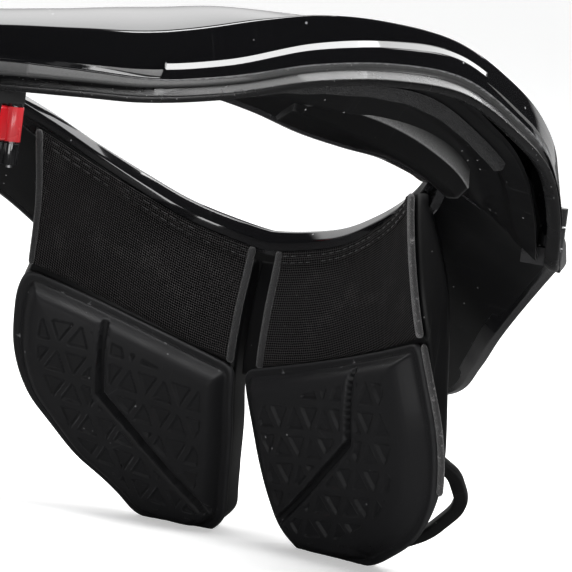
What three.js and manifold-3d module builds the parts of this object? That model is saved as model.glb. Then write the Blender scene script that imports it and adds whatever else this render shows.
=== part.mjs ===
// Motocross neck brace, in millimetres, +Z up, wearer facing -Y, wearer's right at -X.
// A hard open collar in two halves stands round the neck. The rear half carries a strut that
// lies on the spine, the front half carries two padded plates that lie on the chest.
import * as THREE from 'three';
import { mergeVertices } from 'three/addons/utils/BufferGeometryUtils.js';
import Module from 'manifold-3d';

// Neck opening and collar.
const NECK_HALF_WIDTH = 90;
const NECK_HALF_DEPTH = 86;
const COLLAR_HALF_WIDTH = 140;
const COLLAR_TOP = 188;
const SHELL_WALL = 3;
const LINER_WALL = 2;
const SHELL_OVERHANG = 3.8;
const RIM_ROUNDING = 2.5;
const EDGE_RETURN = 6.5;
const LINER_INSET = 1.5;
const LINER_RECESS = 5;
const FIT_GAP = 0.3;

// Rubber trim on the rear half's outer edge.
const TRIM_HEIGHT = 6;
const TRIM_DEPTH = 5;
const TRIM_ROOT = 3.5;
const TRIM_GROOVE = 1.3;

// Gloss band round the front of the neck opening.
const BAND_HEIGHT = 6;
const BAND_WALL = 3;
const BAND_END_ANGLE = 117;

// Where the halves part, the hinge at the right and the tongue at the left.
const PARTING_FORWARD = 22;
const END_PLATE = 4;
const HINGE_INSET = 3.8;
const HINGE_LIFT = 0.6;
const HINGE_HEIGHT = 18;
const KNUCKLE_RADIUS = 3.6;
const HINGE_PIN_RADIUS = 1.4;
const PIN_CLEARANCE = 0.35;
const KNUCKLE_GAP = 0.5;
const ARM_LENGTH = 8;
const TONGUE_INSET = 14;
const TONGUE_LIFT = 6;
const TONGUE_WIDTH = 10;
const TONGUE_HEIGHT = 5;
const TONGUE_LENGTH = 8;
const TONGUE_CLEARANCE = 1;

// Release lever on the inner face of the left end of the front half.
const BLOCK_WALL = 4.9;
const BLOCK_START_ANGLE = 104;
const BLOCK_DROP = 3.7;
const BLOCK_HEIGHT = 29;
const LEVER_START_ANGLE = 105;
const LEVER_WALL = 3.5;
const LEVER_LIFT = 5.5;
const LEVER_HEIGHT = 14.5;
const LEVER_PIN_ANGLE = 117.2;
const LEVER_PIN_INSET = 5.4;
const LEVER_BARREL_RADIUS = 2.8;
const LEVER_PIN_RADIUS = 1.1;
const LEVER_EAR_HEIGHT = 4;

// Chest plates, panels and pads.
const PLATE_HALF_WIDTH = 80;
const PLATE_TOP_ANGLE = 138;
const PLATE_RISE = 5.35;
const PLATE_WALL = 13;
const PANEL_WALL = 1.5;
const SEAT_GAP = 0.4;
const PANEL_INSET = 2;
const PAD_THICKNESS = 10;
const PAD_BEVEL = 4;
const PAD_LIP = 3;
const GROOVE_WIDTH = 2.6;
const GROOVE_DEPTH = 4;
const STRIP_HALF_WIDTH = 3;
const STRIP_WALL = 2;
const LOOP_BAR = 3.6;

// Strut on the spine.
const STRUT_DROP = 36;
const STRUT_TOP = COLLAR_TOP - STRUT_DROP;
const STRUT_HALF_WIDTH = 21;
const STRUT_WALL = 6;
const STRUT_INSET = 27;
const STRUT_REACH = COLLAR_HALF_WIDTH - STRUT_INSET;
const STRUT_PAD_TOP = 82;
const STRUT_PAD_BASE = 9;
const STRUT_PAD_WALL = 8;
const STRUT_PAD_MARGIN = 3;
const BRACKET_LENGTH = 24;
const BRACKET_WIDTH = 30;
const BRACKET_HEIGHT = 9;

// Shoulder tabs and foam strips under the rear half.
const TAB_START_ANGLE = 52;
const TAB_END_ANGLE = 89;
const TAB_DROP = 7;
const FOAM_START_ANGLE = 46;
const FOAM_END_ANGLE = 92;
const FOAM_WIDTH = 9;
const FOAM_WALL = 2.5;

const REAR_SWEEP = 107;
const FRONT_SWEEP = 96;
const REAR_STEPS = 36;
const FRONT_STEPS = 26;
const ROUND_SIDES = 16;
const FLOOR_CUT = 400;

// The collar by angle round the neck, from the rear (0) over either side to the front (180).
// reach and overhang say how far out the edge lies, as shares of COLLAR_HALF_WIDTH and
// SHELL_OVERHANG. edge, crown, rim and sill are heights, as shares of COLLAR_TOP: the outer
// lower edge, the highest line, the inner top edge and the inner lower edge. recess is the
// share of LINER_RECESS by which the underside is hollowed.
const COLLAR_TABLE = [
  { angle: 0, reach: 0.975, overhang: 1, edge: 0.811, crown: 0.944, rim: 0.902, sill: 0.84, recess: 0 },
  { angle: 14, reach: 0.985, overhang: 1, edge: 0.822, crown: 0.96, rim: 0.912, sill: 0.843, recess: 0 },
  { angle: 28, reach: 1, overhang: 1, edge: 0.843, crown: 0.981, rim: 0.934, sill: 0.848, recess: 0.2 },
  { angle: 38, reach: 1, overhang: 1, edge: 0.878, crown: 0.997, rim: 0.944, sill: 0.848, recess: 0.8 },
  { angle: 48, reach: 1, overhang: 1, edge: 0.907, crown: 1, rim: 0.944, sill: 0.83, recess: 1 },
  { angle: 58, reach: 1, overhang: 1, edge: 0.912, crown: 0.997, rim: 0.928, sill: 0.803, recess: 1 },
  { angle: 68, reach: 1, overhang: 1, edge: 0.896, crown: 0.981, rim: 0.904, sill: 0.785, recess: 1 },
  { angle: 78, reach: 1, overhang: 1, edge: 0.838, crown: 0.936, rim: 0.864, sill: 0.771, recess: 1 },
  { angle: 88, reach: 0.997, overhang: 1, edge: 0.763, crown: 0.875, rim: 0.824, sill: 0.747, recess: 0.85 },
  { angle: 94, reach: 0.988, overhang: 0.9, edge: 0.684, crown: 0.83, rim: 0.809, sill: 0.731, recess: 0.5 },
  { angle: 99, reach: 0.974, overhang: 0.6, edge: 0.622, crown: 0.801, rim: 0.795, sill: 0.718, recess: 0.2 },
  { angle: 106, reach: 0.966, overhang: 0.3, edge: 0.614, crown: 0.785, rim: 0.782, sill: 0.705, recess: 0 },
  { angle: 116, reach: 0.962, overhang: 0.1, edge: 0.612, crown: 0.758, rim: 0.761, sill: 0.691, recess: 0 },
  { angle: 128, reach: 0.937, overhang: 0.1, edge: 0.543, crown: 0.689, rim: 0.718, sill: 0.662, recess: 0 },
  { angle: 140, reach: 0.929, overhang: 0.1, edge: 0.441, crown: 0.601, rim: 0.665, sill: 0.617, recess: 0 },
  { angle: 150, reach: 0.98, overhang: 0.1, edge: 0.367, crown: 0.537, rim: 0.625, sill: 0.58, recess: 0 },
  { angle: 160, reach: 1.06, overhang: 0.1, edge: 0.298, crown: 0.473, rim: 0.59, sill: 0.548, recess: 0 },
  { angle: 170, reach: 1.08, overhang: 0.1, edge: 0.269, crown: 0.436, rim: 0.569, sill: 0.527, recess: 0 },
  { angle: 180, reach: 1.08, overhang: 0.1, edge: 0.261, crown: 0.426, rim: 0.557, sill: 0.516, recess: 0 },
];
const CROWN_PLACE = 0.62;

// The chest surface by height: how far forward its centre line lies, as a share of
// NECK_HALF_DEPTH, and how far its sides wrap back, as a share of PLATE_HALF_WIDTH.
const CHEST_TABLE = [
  { height: 0, forward: 1.18, wrap: 0.19 },
  { height: 0.106, forward: 1.128, wrap: 0.195 },
  { height: 0.258, forward: 1.035, wrap: 0.2 },
  { height: 0.432, forward: 0.965, wrap: 0.225 },
  { height: 0.583, forward: 0.975, wrap: 0.31 },
  { height: 0.739, forward: 1.02, wrap: 0.47 },
  { height: 1, forward: 1.05, wrap: 0.66 },
  { height: 1.157, forward: 1.06, wrap: 0.68 },
];

// Rows down one chest plate. The inner and outer ends of a row are given sideways as shares of
// PLATE_HALF_WIDTH and in height as shares of plateTop; sag, a share of plateTop, lowers the
// middle of the row. The pad starts at PAD_ROW.
const PLATE_TABLE = [
  { row: 0, inner: 0.044, innerHeight: 0.72, outer: 0.881, outerHeight: 0.981, sag: 0.052 },
  { row: 1, inner: 0.05, innerHeight: 0.652, outer: 0.9, outerHeight: 0.864, sag: 0.038 },
  { row: 2, inner: 0.05, innerHeight: 0.545, outer: 0.925, outerHeight: 0.739, sag: 0.026 },
  { row: 3, inner: 0.05, innerHeight: 0.447, outer: 0.969, outerHeight: 0.623, sag: 0.012 },
  { row: 4, inner: 0.056, innerHeight: 0.364, outer: 0.994, outerHeight: 0.515, sag: 0.006 },
  { row: 5, inner: 0.062, innerHeight: 0.28, outer: 1.012, outerHeight: 0.413, sag: 0 },
  { row: 6, inner: 0.081, innerHeight: 0.197, outer: 1.006, outerHeight: 0.307, sag: 0 },
  { row: 7, inner: 0.113, innerHeight: 0.114, outer: 0.963, outerHeight: 0.201, sag: 0 },
  { row: 8, inner: 0.169, innerHeight: 0.042, outer: 0.85, outerHeight: 0.098, sag: 0.006 },
  { row: 9, inner: 0.287, innerHeight: -0.015, outer: 0.65, outerHeight: 0.008, sag: 0.01 },
];

// A plate's wall at its inner and outer edge by row, as shares of PLATE_WALL.
const PLATE_WALL_TABLE = [
  { row: 0, inner: 0.5, outer: 0.5 },
  { row: 1, inner: 0.8, outer: 0.8 },
  { row: 2, inner: 1, outer: 1 },
  { row: 3, inner: 1, outer: 0.85 },
  { row: 4, inner: 1, outer: 0.7 },
  { row: 5, inner: 1, outer: 0.58 },
  { row: 6, inner: 1, outer: 0.5 },
  { row: 7, inner: 1, outer: 0.42 },
  { row: 8, inner: 0.95, outer: 0.36 },
  { row: 9, inner: 0.8, outer: 0.34 },
];
const PAD_ROW = 3;
const LAST_ROW = 9;
const PANEL_ROWS = [0.15, 0.5, 1, 1.5, 2, 2.5, 2.9];

// Corners of a pad's bent groove, sideways and in height as the rows are.
const GROOVE_TABLE = [
  { side: 0.625, height: 0.51 },
  { side: 0.625, height: 0.345 },
  { side: 0.175, height: 0.075 },
];

// A strap loop's bar along a plate's outer edge: the row it is at, how far it stands out from
// the edge, as a share of PLATE_HALF_WIDTH, and how deep it lies, as a share of PLATE_WALL.
const LOOP_TABLE = [
  { row: 6, out: -0.05, depth: 0.3 },
  { row: 6.35, out: 0, depth: 0.95 },
  { row: 7.2, out: 0.02, depth: 1.25 },
  { row: 8.1, out: 0.01, depth: 1.2 },
  { row: 8.45, out: -0.07, depth: 0.2 },
];

// The strut by height, as a share of STRUT_TOP: half its width as a share of STRUT_HALF_WIDTH,
// and how far back it lies, as a share of STRUT_REACH.
const STRUT_TABLE = [
  { height: 0, half: 0.7, back: 0.97 },
  { height: 0.08, half: 0.95, back: 0.975 },
  { height: 0.3, half: 1, back: 0.99 },
  { height: 0.55, half: 0.8, back: 1.02 },
  { height: 0.75, half: 0.58, back: 1.03 },
  { height: 1, half: 0.55, back: 1 },
];

const solids = await Module();
solids.setup();

const FINISHES = {
  gloss_plastic: new THREE.MeshStandardMaterial({ color: 0x0b0b0d, roughness: 0.08, metalness: 0 }),
  satin_plastic: new THREE.MeshStandardMaterial({ color: 0x26262a, roughness: 0.42, metalness: 0 }),
  trim_rubber: new THREE.MeshStandardMaterial({ color: 0x2b2b2e, roughness: 0.5, metalness: 0 }),
  foam: new THREE.MeshStandardMaterial({ color: 0x3b3b3d, roughness: 0.95, metalness: 0 }),
  pad_foam: new THREE.MeshStandardMaterial({ color: 0x2c2c30, roughness: 0.62, metalness: 0 }),
  mesh_cloth: new THREE.MeshStandardMaterial({ color: 0x222225, roughness: 0.85, metalness: 0 }),
  red_plastic: new THREE.MeshStandardMaterial({ color: 0xd2202c, roughness: 0.35, metalness: 0 }),
  steel: new THREE.MeshStandardMaterial({ color: 0x8a8c90, roughness: 0.3, metalness: 1 }),
};

const brace = new THREE.Group();

function addPiece(name, geometry, finish) {
  const piece = new THREE.Mesh(geometry, FINISHES[finish].clone());
  piece.name = name;
  brace.add(piece);
  return piece;
}

// Reads a table smoothly between its rows. key names the column that says where each row is.
function tableReader(table, key, ending = THREE.ZeroCurvatureEnding) {
  const columns = Object.keys(table[0]).filter((column) => column !== key);
  const places = table.map((row) => row[key]);
  const values = table.flatMap((row) => columns.map((column) => row[column]));
  const result = new Float64Array(columns.length);
  const curve = new THREE.CubicInterpolant(places, values, columns.length, result);
  curve.settings = { endingStart: ending, endingEnd: ending };
  return (place) => {
    const read = curve.evaluate(place);
    return Object.fromEntries(columns.map((column, index) => [column, read[index]]));
  };
}

function steps(from, to, count) {
  return Array.from({ length: count + 1 }, (_, index) => from + ((to - from) * index) / count);
}

// A closed body from vertices and triangles, turned so that its faces point outwards.
function closedBody(points, triangles) {
  let volume = 0;
  for (let i = 0; i < triangles.length; i += 3) {
    const [a, b, c] = [points[triangles[i]], points[triangles[i + 1]], points[triangles[i + 2]]];
    volume += a.dot(b.clone().cross(c));
  }
  const faces = volume > 0 ? triangles : [...triangles].reverse();
  const places = points.flatMap((point) => [point.x, point.y, point.z]);
  const geometry = new THREE.BufferGeometry();
  geometry.setAttribute('position', new THREE.Float32BufferAttribute(places, 3));
  geometry.setIndex(faces);
  geometry.computeVertexNormals();
  return geometry;
}

// Skins outlines that stand one after another. outlineAt gives the flat outline at a place, and
// put sets a point of it in space. A loop joins its last outline to its first, else ends are filled.
function loft(places, outlineAt, put, loop = false) {
  const outlines = places.map((place) => outlineAt(place));
  if (THREE.ShapeUtils.area(outlines[0]) < 0) outlines.forEach((outline) => outline.reverse());
  const size = outlines[0].length;
  const points = outlines.flatMap((outline, index) => outline.map((point) => put(places[index], point)));
  const triangles = [];
  const spans = loop ? places.length : places.length - 1;
  for (let i = 0; i < spans; i += 1) {
    const here = i * size;
    const next = ((i + 1) % places.length) * size;
    for (let j = 0; j < size; j += 1) {
      const k = (j + 1) % size;
      triangles.push(here + j, here + k, next + k, here + j, next + k, next + j);
    }
  }
  if (!loop) {
    const last = (places.length - 1) * size;
    THREE.ShapeUtils.triangulateShape(outlines[0], []).forEach(([a, b, c]) => triangles.push(c, b, a));
    THREE.ShapeUtils.triangulateShape(outlines.at(-1), [])
      .forEach(([a, b, c]) => triangles.push(last + a, last + b, last + c));
  }
  return closedBody(points, triangles);
}

function toSolid(geometry) {
  const bare = geometry.clone();
  bare.deleteAttribute('normal');
  bare.deleteAttribute('uv');
  const merged = mergeVertices(bare, 1e-4);
  return new solids.Manifold(new solids.Mesh({
    numProp: 3,
    vertProperties: merged.attributes.position.array,
    triVerts: new Uint32Array(merged.index.array),
  }));
}

function toGeometry(solid) {
  const mesh = solid.getMesh();
  const geometry = new THREE.BufferGeometry();
  geometry.setAttribute('position', new THREE.Float32BufferAttribute(mesh.vertProperties, 3));
  geometry.setIndex(Array.from(mesh.triVerts));
  geometry.computeVertexNormals();
  return geometry;
}

function cut(geometry, ...tools) {
  return toGeometry(tools.reduce((solid, tool) => solid.subtract(toSolid(tool)), toSolid(geometry)));
}

function join(first, ...others) {
  return toGeometry(others.reduce((solid, other) => solid.add(toSolid(other)), toSolid(first)));
}

function common(first, second) {
  return toGeometry(toSolid(first).intersect(toSolid(second)));
}

function block(low, high) {
  const size = high.clone().sub(low);
  const middle = high.clone().add(low).multiplyScalar(0.5);
  return new THREE.BoxGeometry(size.x, size.y, size.z).translate(middle.x, middle.y, middle.z);
}

function uprightRod(radius, x, y, base, top) {
  return new THREE.CylinderGeometry(radius, radius, top - base, ROUND_SIDES)
    .rotateX(Math.PI / 2)
    .translate(x, y, (base + top) / 2);
}

// Offsets an open path to its left by a distance, with mitred corners.
function offsetPath(path, distance) {
  return path.map((point, index) => {
    const before = path[Math.max(index - 1, 0)];
    const after = path[Math.min(index + 1, path.length - 1)];
    const along = [point.clone().sub(before), after.clone().sub(point)]
      .filter((step) => step.length() > 1e-6)
      .map((step) => step.normalize());
    const normals = along.map((step) => new THREE.Vector2(-step.y, step.x));
    const first = normals[0];
    const second = normals.at(-1);
    const mitre = first.clone().add(second).divideScalar(1 + first.dot(second));
    return point.clone().addScaledVector(mitre, distance);
  });
}

// A point round the neck: the angle runs from the rear, to the wearer's right when positive.
function roundNeck(angle, point) {
  const turn = THREE.MathUtils.degToRad(angle);
  return new THREE.Vector3(-Math.sin(turn) * point.x, Math.cos(turn) * point.x, point.y);
}

function neckRadius(angle) {
  const turn = THREE.MathUtils.degToRad(angle);
  return 1 / Math.hypot(Math.sin(turn) / NECK_HALF_WIDTH, Math.cos(turn) / NECK_HALF_DEPTH);
}

const readCollar = tableReader(COLLAR_TABLE, 'angle', THREE.ZeroSlopeEnding);

function collarAt(angle) {
  const fold = Math.abs(angle) > 180 ? 360 - Math.abs(angle) : Math.abs(angle);
  const row = readCollar(fold);
  return {
    inner: neckRadius(angle) + BAND_WALL + FIT_GAP,
    outer: row.reach * COLLAR_HALF_WIDTH,
    overhang: row.overhang * SHELL_OVERHANG,
    edge: row.edge * COLLAR_TOP,
    crown: row.crown * COLLAR_TOP,
    rim: row.rim * COLLAR_TOP,
    sill: row.sill * COLLAR_TOP,
    recess: row.recess * LINER_RECESS,
  };
}

const partingAngle = 90 + THREE.MathUtils.radToDeg(Math.asin(PARTING_FORWARD / COLLAR_HALF_WIDTH));
const collarEnd = collarAt(partingAngle);
const hingeReach = collarEnd.outer + collarEnd.overhang - HINGE_INSET;
const hingeOffset = Math.sqrt(hingeReach ** 2 - PARTING_FORWARD ** 2);
const hingeBase = collarEnd.edge + HINGE_LIFT;
const tongueOffset = NECK_HALF_WIDTH + TONGUE_INSET;
const tongueLevel = collarEnd.sill + TONGUE_LIFT;
const plateTop = collarAt(PLATE_TOP_ANGLE).rim + PLATE_RISE;
const blockTop = collarAt(BLOCK_START_ANGLE).rim - BLOCK_DROP;
const blockBase = blockTop - BLOCK_HEIGHT;
const leverBase = blockBase + LEVER_LIFT;
const leverTop = leverBase + LEVER_HEIGHT;

const vec = (x, y) => new THREE.Vector2(x, y);

// The collar's outer skin in one radial plane, from the inner lower edge over to the outer one.
function skinPath(angle, trimmed) {
  const at = collarAt(angle);
  const lip = at.edge + (trimmed ? TRIM_HEIGHT + FIT_GAP : 0);
  const crownRadius = at.inner + CROWN_PLACE * (at.outer - at.inner);
  const over = new THREE.SplineCurve([
    vec(at.inner + RIM_ROUNDING, at.rim),
    vec(crownRadius, at.crown),
    vec(at.outer + at.overhang - 1, lip + EDGE_RETURN),
  ]).getPoints(6);
  return [
    vec(at.inner, at.sill),
    vec(at.inner, at.rim - RIM_ROUNDING),
    ...over,
    vec(at.outer + at.overhang, lip),
  ];
}

function shellOutline(angle, trimmed) {
  const skin = skinPath(angle, trimmed);
  return [...skin, ...offsetPath(skin, -SHELL_WALL).reverse()];
}

// The underside panel in one radial plane, from the neck side outwards.
function linerPath(angle, trimmed) {
  const at = collarAt(angle);
  const start = vec(at.inner + SHELL_WALL + FIT_GAP, at.sill + LINER_INSET);
  const edgeDepth = trimmed ? TRIM_DEPTH + FIT_GAP : SHELL_WALL + FIT_GAP;
  const end = vec(at.outer - edgeDepth, at.edge + LINER_INSET);
  const along = (share, lift) => start.clone().lerp(end, share).add(vec(0, lift));
  return [start, along(0.4, 0), along(0.48, at.recess), along(0.7, at.recess), along(0.78, 0), end];
}

// The underside panel's upper side, lifted off its path, with ends that stand straight above.
function linerRoof(path, lift, setBack) {
  const roof = offsetPath(path, lift);
  roof[0].x = path[0].x + setBack;
  roof.at(-1).x = path.at(-1).x - setBack;
  return roof;
}

function linerOutline(angle, trimmed) {
  const path = linerPath(angle, trimmed);
  return [...path, ...linerRoof(path, LINER_WALL, 0).reverse()];
}

// The hollow between shell and liner, clear of both.
function hollowOutline(angle, trimmed) {
  const at = collarAt(angle);
  const roof = offsetPath(skinPath(angle, trimmed), -SHELL_WALL - FIT_GAP).slice(1, -1);
  const base = linerRoof(linerPath(angle, trimmed), LINER_WALL + FIT_GAP, FIT_GAP);
  const rise = trimmed ? TRIM_HEIGHT + TRIM_ROOT + FIT_GAP : TRIM_HEIGHT;
  return [...base, vec(base.at(-1).x, at.edge + rise), ...roof.reverse()];
}

function trimOutline(angle) {
  const at = collarAt(angle);
  const top = TRIM_HEIGHT + TRIM_ROOT;
  return [
    vec(at.outer - TRIM_DEPTH, at.edge + 0.2 * TRIM_HEIGHT),
    vec(at.outer - 0.6 * TRIM_DEPTH, at.edge),
    vec(at.outer - 0.12 * TRIM_DEPTH, at.edge + 0.15 * TRIM_HEIGHT),
    vec(at.outer - TRIM_GROOVE, at.edge + 0.43 * TRIM_HEIGHT),
    vec(at.outer - 0.06 * TRIM_DEPTH, at.edge + 0.67 * TRIM_HEIGHT),
    vec(at.outer - 0.12 * TRIM_DEPTH, at.edge + 0.95 * TRIM_HEIGHT),
    vec(at.outer - 0.44 * TRIM_DEPTH, at.edge + TRIM_HEIGHT),
    vec(at.outer - 0.44 * TRIM_DEPTH, at.edge + top),
    vec(at.outer - TRIM_DEPTH, at.edge + top),
  ];
}

const rearAngles = steps(-REAR_SWEEP, REAR_SWEEP, REAR_STEPS);
const frontAngles = steps(FRONT_SWEEP, 360 - FRONT_SWEEP, FRONT_STEPS);
const farCorner = new THREE.Vector3(FLOOR_CUT, FLOOR_CUT, FLOOR_CUT);
const aheadOfParting = block(
  farCorner.clone().negate(),
  new THREE.Vector3(FLOOR_CUT, -PARTING_FORWARD + FIT_GAP, FLOOR_CUT),
);
const behindParting = block(
  new THREE.Vector3(-FLOOR_CUT, -PARTING_FORWARD - FIT_GAP, -FLOOR_CUT),
  farCorner,
);
const hingeRoom = uprightRod(
  KNUCKLE_RADIUS + KNUCKLE_GAP, -hingeOffset, -PARTING_FORWARD, 0, COLLAR_TOP,
);

// The arm that ties a hinge knuckle to its end plate, between two depths, or the room round it.
function hingeArm(base, top, depths, clearance) {
  const [near, far] = [...depths].sort((a, b) => a - b);
  return block(
    new THREE.Vector3(-hingeOffset, near - clearance, base - clearance),
    new THREE.Vector3(-hingeOffset + ARM_LENGTH + clearance, far + clearance, top + clearance),
  );
}

const rearFace = -PARTING_FORWARD + FIT_GAP;
const frontFace = -PARTING_FORWARD - FIT_GAP;
const rearPlateDepths = [rearFace, rearFace + END_PLATE];
const frontPlateDepths = [frontFace, frontFace - END_PLATE];

function rearLoft(outlineAt) {
  const armRoom = hingeArm(hingeBase, hingeBase + HINGE_HEIGHT, rearPlateDepths, FIT_GAP);
  return cut(loft(rearAngles, outlineAt, roundNeck), aheadOfParting, hingeRoom, armRoom);
}

function frontLoft(outlineAt) {
  const armRoom = hingeArm(hingeBase, hingeBase + HINGE_HEIGHT, frontPlateDepths, FIT_GAP);
  return cut(loft(frontAngles, outlineAt, roundNeck), behindParting, hingeRoom, armRoom);
}

// Rear half: moulded gloss shell, underside liner and rubber edge trim.
addPiece('rear_collar_shell', rearLoft((angle) => shellOutline(angle, true)), 'gloss_plastic');
addPiece('rear_liner', rearLoft((angle) => linerOutline(angle, true)), 'satin_plastic');
addPiece('rear_edge_trim', rearLoft(trimOutline), 'trim_rubber');

// Front half: shell that falls away like a beak, its liner, and the band round the neck.
addPiece('front_collar_shell', frontLoft((angle) => shellOutline(angle, false)), 'gloss_plastic');
addPiece('front_liner', frontLoft((angle) => linerOutline(angle, false)), 'satin_plastic');

function bandOutline(angle) {
  const at = collarAt(angle);
  const inside = neckRadius(angle);
  return [
    vec(inside, at.rim - BAND_HEIGHT),
    vec(inside, at.rim - 0.6),
    vec(inside + 0.9, at.rim + 0.5),
    vec(inside + BAND_WALL - 0.6, at.rim + 0.5),
    vec(inside + BAND_WALL, at.rim - 0.6),
    vec(inside + BAND_WALL, at.rim - BAND_HEIGHT),
  ];
}

const bandAngles = steps(BAND_END_ANGLE, 360 - BAND_END_ANGLE, FRONT_STEPS);
addPiece('neck_band', loft(bandAngles, bandOutline, roundNeck), 'gloss_plastic');

// Everything from the rear half's underside up, which what hangs below it keeps clear of.
const aboveRearLiner = loft(rearAngles, (angle) => {
  const at = collarAt(angle);
  const path = offsetPath(linerPath(angle, true), -FIT_GAP);
  const beyond = at.outer + 2 * SHELL_OVERHANG;
  const within = at.inner - FIT_GAP;
  return [
    vec(within, at.sill - FIT_GAP),
    vec(path[0].x, at.sill - FIT_GAP),
    ...path,
    vec(path.at(-1).x, at.edge - FIT_GAP),
    vec(beyond, at.edge - FIT_GAP),
    vec(beyond, FLOOR_CUT),
    vec(within, FLOOR_CUT),
  ];
}, roundNeck);

// Foam strips and shoulder tabs on the underside of the rear half.
function underLiner(angle, share, drop) {
  const path = linerPath(angle, true);
  const point = path[0].clone().lerp(path.at(-1), share);
  return vec(point.x, point.y - drop);
}

// The rear half's own stations on one side between two angles.
function rearStations(sign, from, to) {
  return rearAngles.filter((angle) => angle * sign >= from && angle * sign <= to);
}

function foamOutline(angle) {
  const outer = underLiner(angle, 0.985, 0);
  const neckSide = underLiner(angle, 0, 0);
  const inner = outer.clone().lerp(neckSide, FOAM_WIDTH / outer.distanceTo(neckSide));
  return [
    outer.clone().add(vec(0, FOAM_WALL)),
    inner.clone().add(vec(0, FOAM_WALL)),
    inner.clone().add(vec(0.6, -FOAM_WALL)),
    outer.clone().add(vec(-0.8, -FOAM_WALL)),
  ];
}

// A tab grows outwards and deeper from its rear end to its front end.
function tabOutline(angle) {
  const along = (Math.abs(angle) - TAB_START_ANGLE) / (TAB_END_ANGLE - TAB_START_ANGLE);
  const grown = 0.2 + 0.8 * THREE.MathUtils.smoothstep(along, -0.2, 0.9);
  const inner = underLiner(angle, 0.04, 0);
  const ridge = underLiner(angle, 0.28, grown * TAB_DROP);
  const outer = underLiner(angle, 0.36 + 0.22 * grown, 0);
  const recess = collarAt(angle).recess;
  return [
    inner.clone().add(vec(0, 1.5)),
    outer.clone().add(vec(0, recess + 1.5)),
    outer.clone().add(vec(0.5, recess - grown * TAB_DROP)),
    ridge.clone().lerp(outer, 0.5).add(vec(0.5, -grown * TAB_DROP * 0.45)),
    ridge,
    inner.clone().add(vec(0.5, -0.8)),
  ];
}

for (const [side, sign] of [['right', 1], ['left', -1]]) {
  const foamAngles = rearStations(sign, FOAM_START_ANGLE, FOAM_END_ANGLE);
  const tabAngles = rearStations(sign, TAB_START_ANGLE, TAB_END_ANGLE);
  const foam = cut(loft(foamAngles, foamOutline, roundNeck), aboveRearLiner);
  const tab = cut(loft(tabAngles, tabOutline, roundNeck), aboveRearLiner);
  addPiece(`foam_strip_${side}`, foam, 'foam');
  addPiece(`shoulder_tab_${side}`, tab, 'satin_plastic');
}

// End plates close the hollow on both sides of the parting.
const rearHollow = loft(rearAngles.toReversed(), (angle) => hollowOutline(angle, true), roundNeck);
const frontHollow = loft(frontAngles.toReversed(), (angle) => hollowOutline(angle, false), roundNeck);

function endPlate(hollow, sign, depths) {
  const [left, right] = [sign * NECK_HALF_WIDTH, sign * FLOOR_CUT].sort((a, b) => a - b);
  const [near, far] = [...depths].sort((a, b) => a - b);
  const slab = block(new THREE.Vector3(left, near, 0), new THREE.Vector3(right, far, FLOOR_CUT));
  return cut(common(hollow, slab), hingeRoom);
}

const knuckle = HINGE_HEIGHT / 3;
const pinBore = uprightRod(
  HINGE_PIN_RADIUS + PIN_CLEARANCE, -hingeOffset, -PARTING_FORWARD, 0, COLLAR_TOP,
);

// A hinge knuckle round the pin, with the arm that reaches back to its end plate.
function hingeKnuckle(base, top, depths) {
  const barrel = uprightRod(KNUCKLE_RADIUS, -hingeOffset, -PARTING_FORWARD, base, top);
  return join(barrel, hingeArm(base, top, depths, 0));
}

addPiece('hinge_fork_right', cut(
  join(
    endPlate(rearHollow, -1, rearPlateDepths),
    hingeKnuckle(hingeBase, hingeBase + knuckle - KNUCKLE_GAP, rearPlateDepths),
    hingeKnuckle(hingeBase + 2 * knuckle + KNUCKLE_GAP, hingeBase + 3 * knuckle, rearPlateDepths),
  ),
  pinBore,
), 'satin_plastic');
addPiece('hinge_tongue_right', cut(
  join(
    endPlate(frontHollow, -1, frontPlateDepths),
    hingeKnuckle(hingeBase + knuckle, hingeBase + 2 * knuckle, frontPlateDepths),
  ),
  pinBore,
), 'satin_plastic');
addPiece('hinge_pin_right', uprightRod(
  HINGE_PIN_RADIUS, -hingeOffset, -PARTING_FORWARD, hingeBase, hingeBase + HINGE_HEIGHT,
), 'steel');

function tongueBlock(clearance, near, far) {
  return block(
    new THREE.Vector3(
      tongueOffset - TONGUE_WIDTH / 2 - clearance, near, tongueLevel - TONGUE_HEIGHT / 2 - clearance,
    ),
    new THREE.Vector3(
      tongueOffset + TONGUE_WIDTH / 2 + clearance, far, tongueLevel + TONGUE_HEIGHT / 2 + clearance,
    ),
  );
}

addPiece('closure_socket_left', cut(
  endPlate(rearHollow, 1, rearPlateDepths),
  tongueBlock(TONGUE_CLEARANCE, rearFace - 1, rearFace + END_PLATE + 1),
), 'satin_plastic');
addPiece('closure_tongue_left', join(
  endPlate(frontHollow, 1, frontPlateDepths),
  tongueBlock(0, frontFace - 1, rearFace + TONGUE_LENGTH),
), 'satin_plastic');

// The closure block stands inside the left end of the front half and carries the lever.
function blockOutline(angle) {
  const inside = neckRadius(angle) + BAND_WALL - BLOCK_WALL;
  const outside = neckRadius(angle) + BAND_WALL;
  return [
    vec(inside, blockBase + 1.5),
    vec(inside, blockTop - 1.5),
    vec(inside + 1, blockTop),
    vec(outside, blockTop),
    vec(outside, blockBase),
    vec(inside + 1, blockBase),
  ];
}

const blockSpan = [BLOCK_START_ANGLE, BAND_END_ANGLE - 0.4];

const leverPin = roundNeck(-LEVER_PIN_ANGLE, vec(neckRadius(LEVER_PIN_ANGLE) - LEVER_PIN_INSET, 0));
const leverBore = uprightRod(LEVER_PIN_RADIUS + PIN_CLEARANCE, leverPin.x, leverPin.y, 0, COLLAR_TOP);
const leverRoom = uprightRod(
  LEVER_BARREL_RADIUS + FIT_GAP, leverPin.x, leverPin.y, leverBase - FIT_GAP, leverTop + FIT_GAP,
);

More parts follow.
